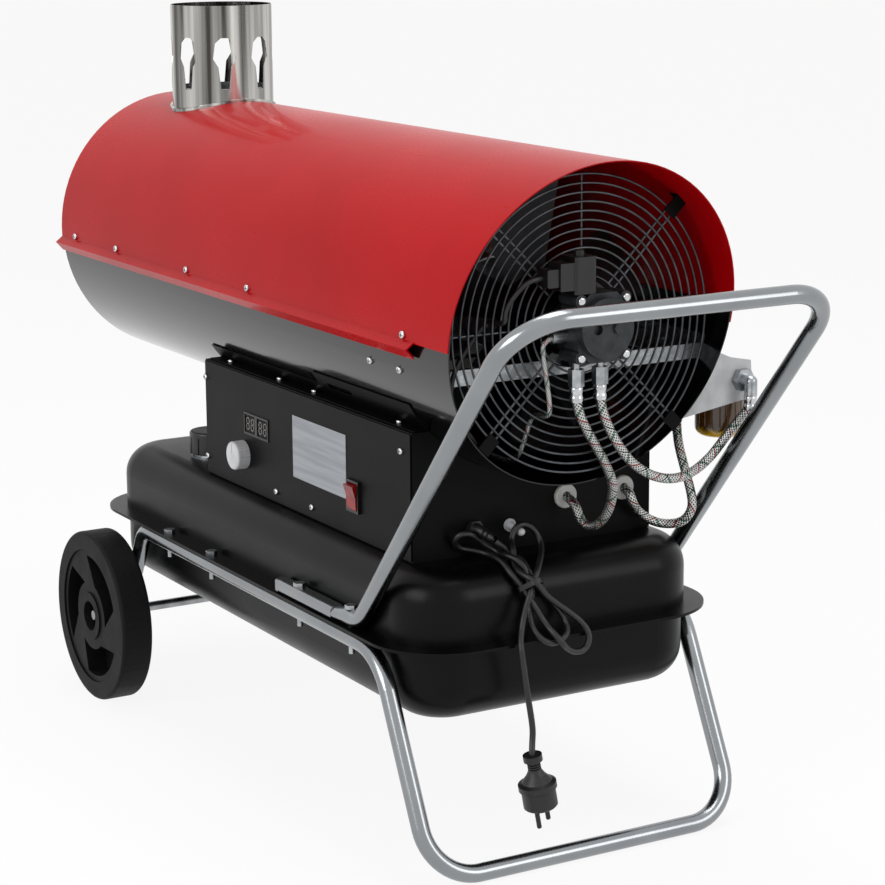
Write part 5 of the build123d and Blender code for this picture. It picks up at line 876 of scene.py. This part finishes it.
@dataclass
class Studio:
    """Floor, world, lamps and camera.

    Attributes:
        eye: the camera's place.
        yaw_deg: how far the view is turned from minus X towards plus Y.
        pitch_deg: how far the view looks down.
        roll_deg: how far the camera is rolled.
        lens_mm: focal length on a 36 mm sensor.
        floor_side: length of the floor's side.
    """

    eye: tuple[float, float, float] = (2.3676, -1.3107, 0.9430)
    yaw_deg: float = 30.067
    pitch_deg: float = 12.448
    roll_deg: float = -0.451
    lens_mm: float = 103.83
    floor_side: float = 60.0

    def floor(self) -> None:
        """Lays a pale floor that the camera and reflections see as white with a soft shadow."""
        work = bmesh.new()
        bmesh.ops.create_grid(work, x_segments=1, y_segments=1, size=self.floor_side / 2)
        mesh = bpy.data.meshes.new("floor")
        work.to_mesh(mesh)
        work.free()
        obj = bpy.data.objects.new("floor", mesh)
        obj.location.z = CAD_BOX[0].z - 0.0005
        bpy.context.scene.collection.objects.link(obj)
        material = bpy.data.materials.new("pale_floor")
        material.use_nodes = True
        tree = material.node_tree
        tree.nodes.clear()
        place = add(tree, "TexCoord", out=3)
        mottle = add(tree, "TexNoise", {"Vector": place, "Scale": 3.0, "Detail": 2.0})
        tone = add(tree, "Mix", {0: mottle, 6: linear("fbfbfb"), 7: linear("f6f6f6")}, 2,
                   data_type="RGBA")
        matt = add(tree, "BsdfDiffuse", {"Color": tone})
        glow = add(tree, "Emission", {"Color": linear("ffffff"), "Strength": 1.0})
        seen = add(tree, "LightPath")
        seen_or_mirrored = add(tree, "Math", {0: seen, 1: seen.node.outputs[3]},
                               operation="MAXIMUM")
        share = add(tree, "Math", {0: seen_or_mirrored, 1: 0.9}, operation="MULTIPLY")
        mixed = add(tree, "MixShader", {0: share, 1: matt, 2: glow})
        output = tree.nodes.new("ShaderNodeOutputMaterial")
        tree.links.new(mixed, output.inputs["Surface"])
        mesh.materials.append(material)

    def world(self) -> None:
        """A plain pale surround: white where it is seen, dimmer where it lights."""
        world = bpy.data.worlds.new("studio_world")
        world.use_nodes = True
        tree = world.node_tree
        seen = add(tree, "LightPath")
        first = add(tree, "Math", {0: seen, 1: seen.node.outputs[3]}, operation="MAXIMUM")
        either = add(tree, "Math", {0: first, 1: seen.node.outputs[6]}, operation="MAXIMUM")
        strength = add(tree, "MapRange", {"Value": either, "To Min": 0.42, "To Max": 1.0})
        background = tree.nodes["Background"]
        background.inputs["Color"].default_value = linear("ffffff")
        tree.links.new(strength, background.inputs["Strength"])
        bpy.context.scene.world = world

    def lamp(self, name: str, place: Sequence[float], aim: Sequence[float],
             size: tuple[float, float], watts: float) -> None:
        """Hangs one softbox.

        Args:
            name: the lamp's name.
            place: where it hangs.
            aim: the point that it faces.
            size: its width and height.
            watts: its power.
        """
        light = bpy.data.lights.new(name, "AREA")
        light.shape = "RECTANGLE"
        light.size, light.size_y = size
        light.energy = watts
        obj = bpy.data.objects.new(name, light)
        obj.location = place
        obj.rotation_euler = (Vector(place) - Vector(aim)).to_track_quat("Z", "Y").to_euler()
        bpy.context.scene.collection.objects.link(obj)

    def camera(self) -> None:
        """Sets up the camera at the photograph's viewpoint."""
        yaw, pitch, roll = (math.radians(v) for v in (self.yaw_deg, self.pitch_deg, self.roll_deg))
        ahead = Vector((-math.cos(yaw) * math.cos(pitch), math.sin(yaw) * math.cos(pitch),
                        -math.sin(pitch)))
        right = ahead.cross(Vector((0, 0, 1))).normalized()
        up = right.cross(ahead)
        rolled_right = math.cos(roll) * right + math.sin(roll) * up
        rolled_up = -math.sin(roll) * right + math.cos(roll) * up
        data = bpy.data.cameras.new("camera")
        data.lens = self.lens_mm
        data.sensor_width = 36.0
        obj = bpy.data.objects.new("camera", data)
        turn = Matrix((rolled_right, rolled_up, -ahead)).transposed().to_4x4()
        obj.matrix_world = Matrix.Translation(Vector(self.eye)) @ turn
        bpy.context.scene.collection.objects.link(obj)
        bpy.context.scene.camera = obj

    def build(self) -> None:
        """Builds the whole studio."""
        self.floor()
        self.world()
        self.lamp("overhead", (0.0, 0.3, 3.0), (0.0, 0.0, 0.4), (2.6, 1.2), 42.0)
        self.lamp("left_box", (0.6, -2.8, 1.6), (0.0, 0.0, 0.4), (1.8, 1.4), 34.0)
        self.lamp("right_box", (3.0, 1.6, 1.5), (0.1, 0.0, 0.4), (1.2, 1.6), 18.0)
        self.camera()


def dress_nodes(shop: Workshop) -> None:
    """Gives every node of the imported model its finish.

    Args:
        shop: the workshop.
    """
    for node, finish in NODE_FINISH.items():
        shop.paint(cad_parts[node], finish)
        LOG.info("node %s wears %s", node, finish)


def main() -> None:
    """Builds the dressed heater."""
    logging.basicConfig(level=logging.INFO, format="%(name)s: %(message)s")
    bpy.context.scene.view_settings.view_transform = "Standard"
    shop = Workshop()
    dress_nodes(shop)
    Studio().build()
    MainsCord().dress(shop)
    FuelLines().dress(shop)
    PanelFittings().dress(shop)
    ScrewRecessShade().dress(shop)


if __name__ == "__main__":
    main()
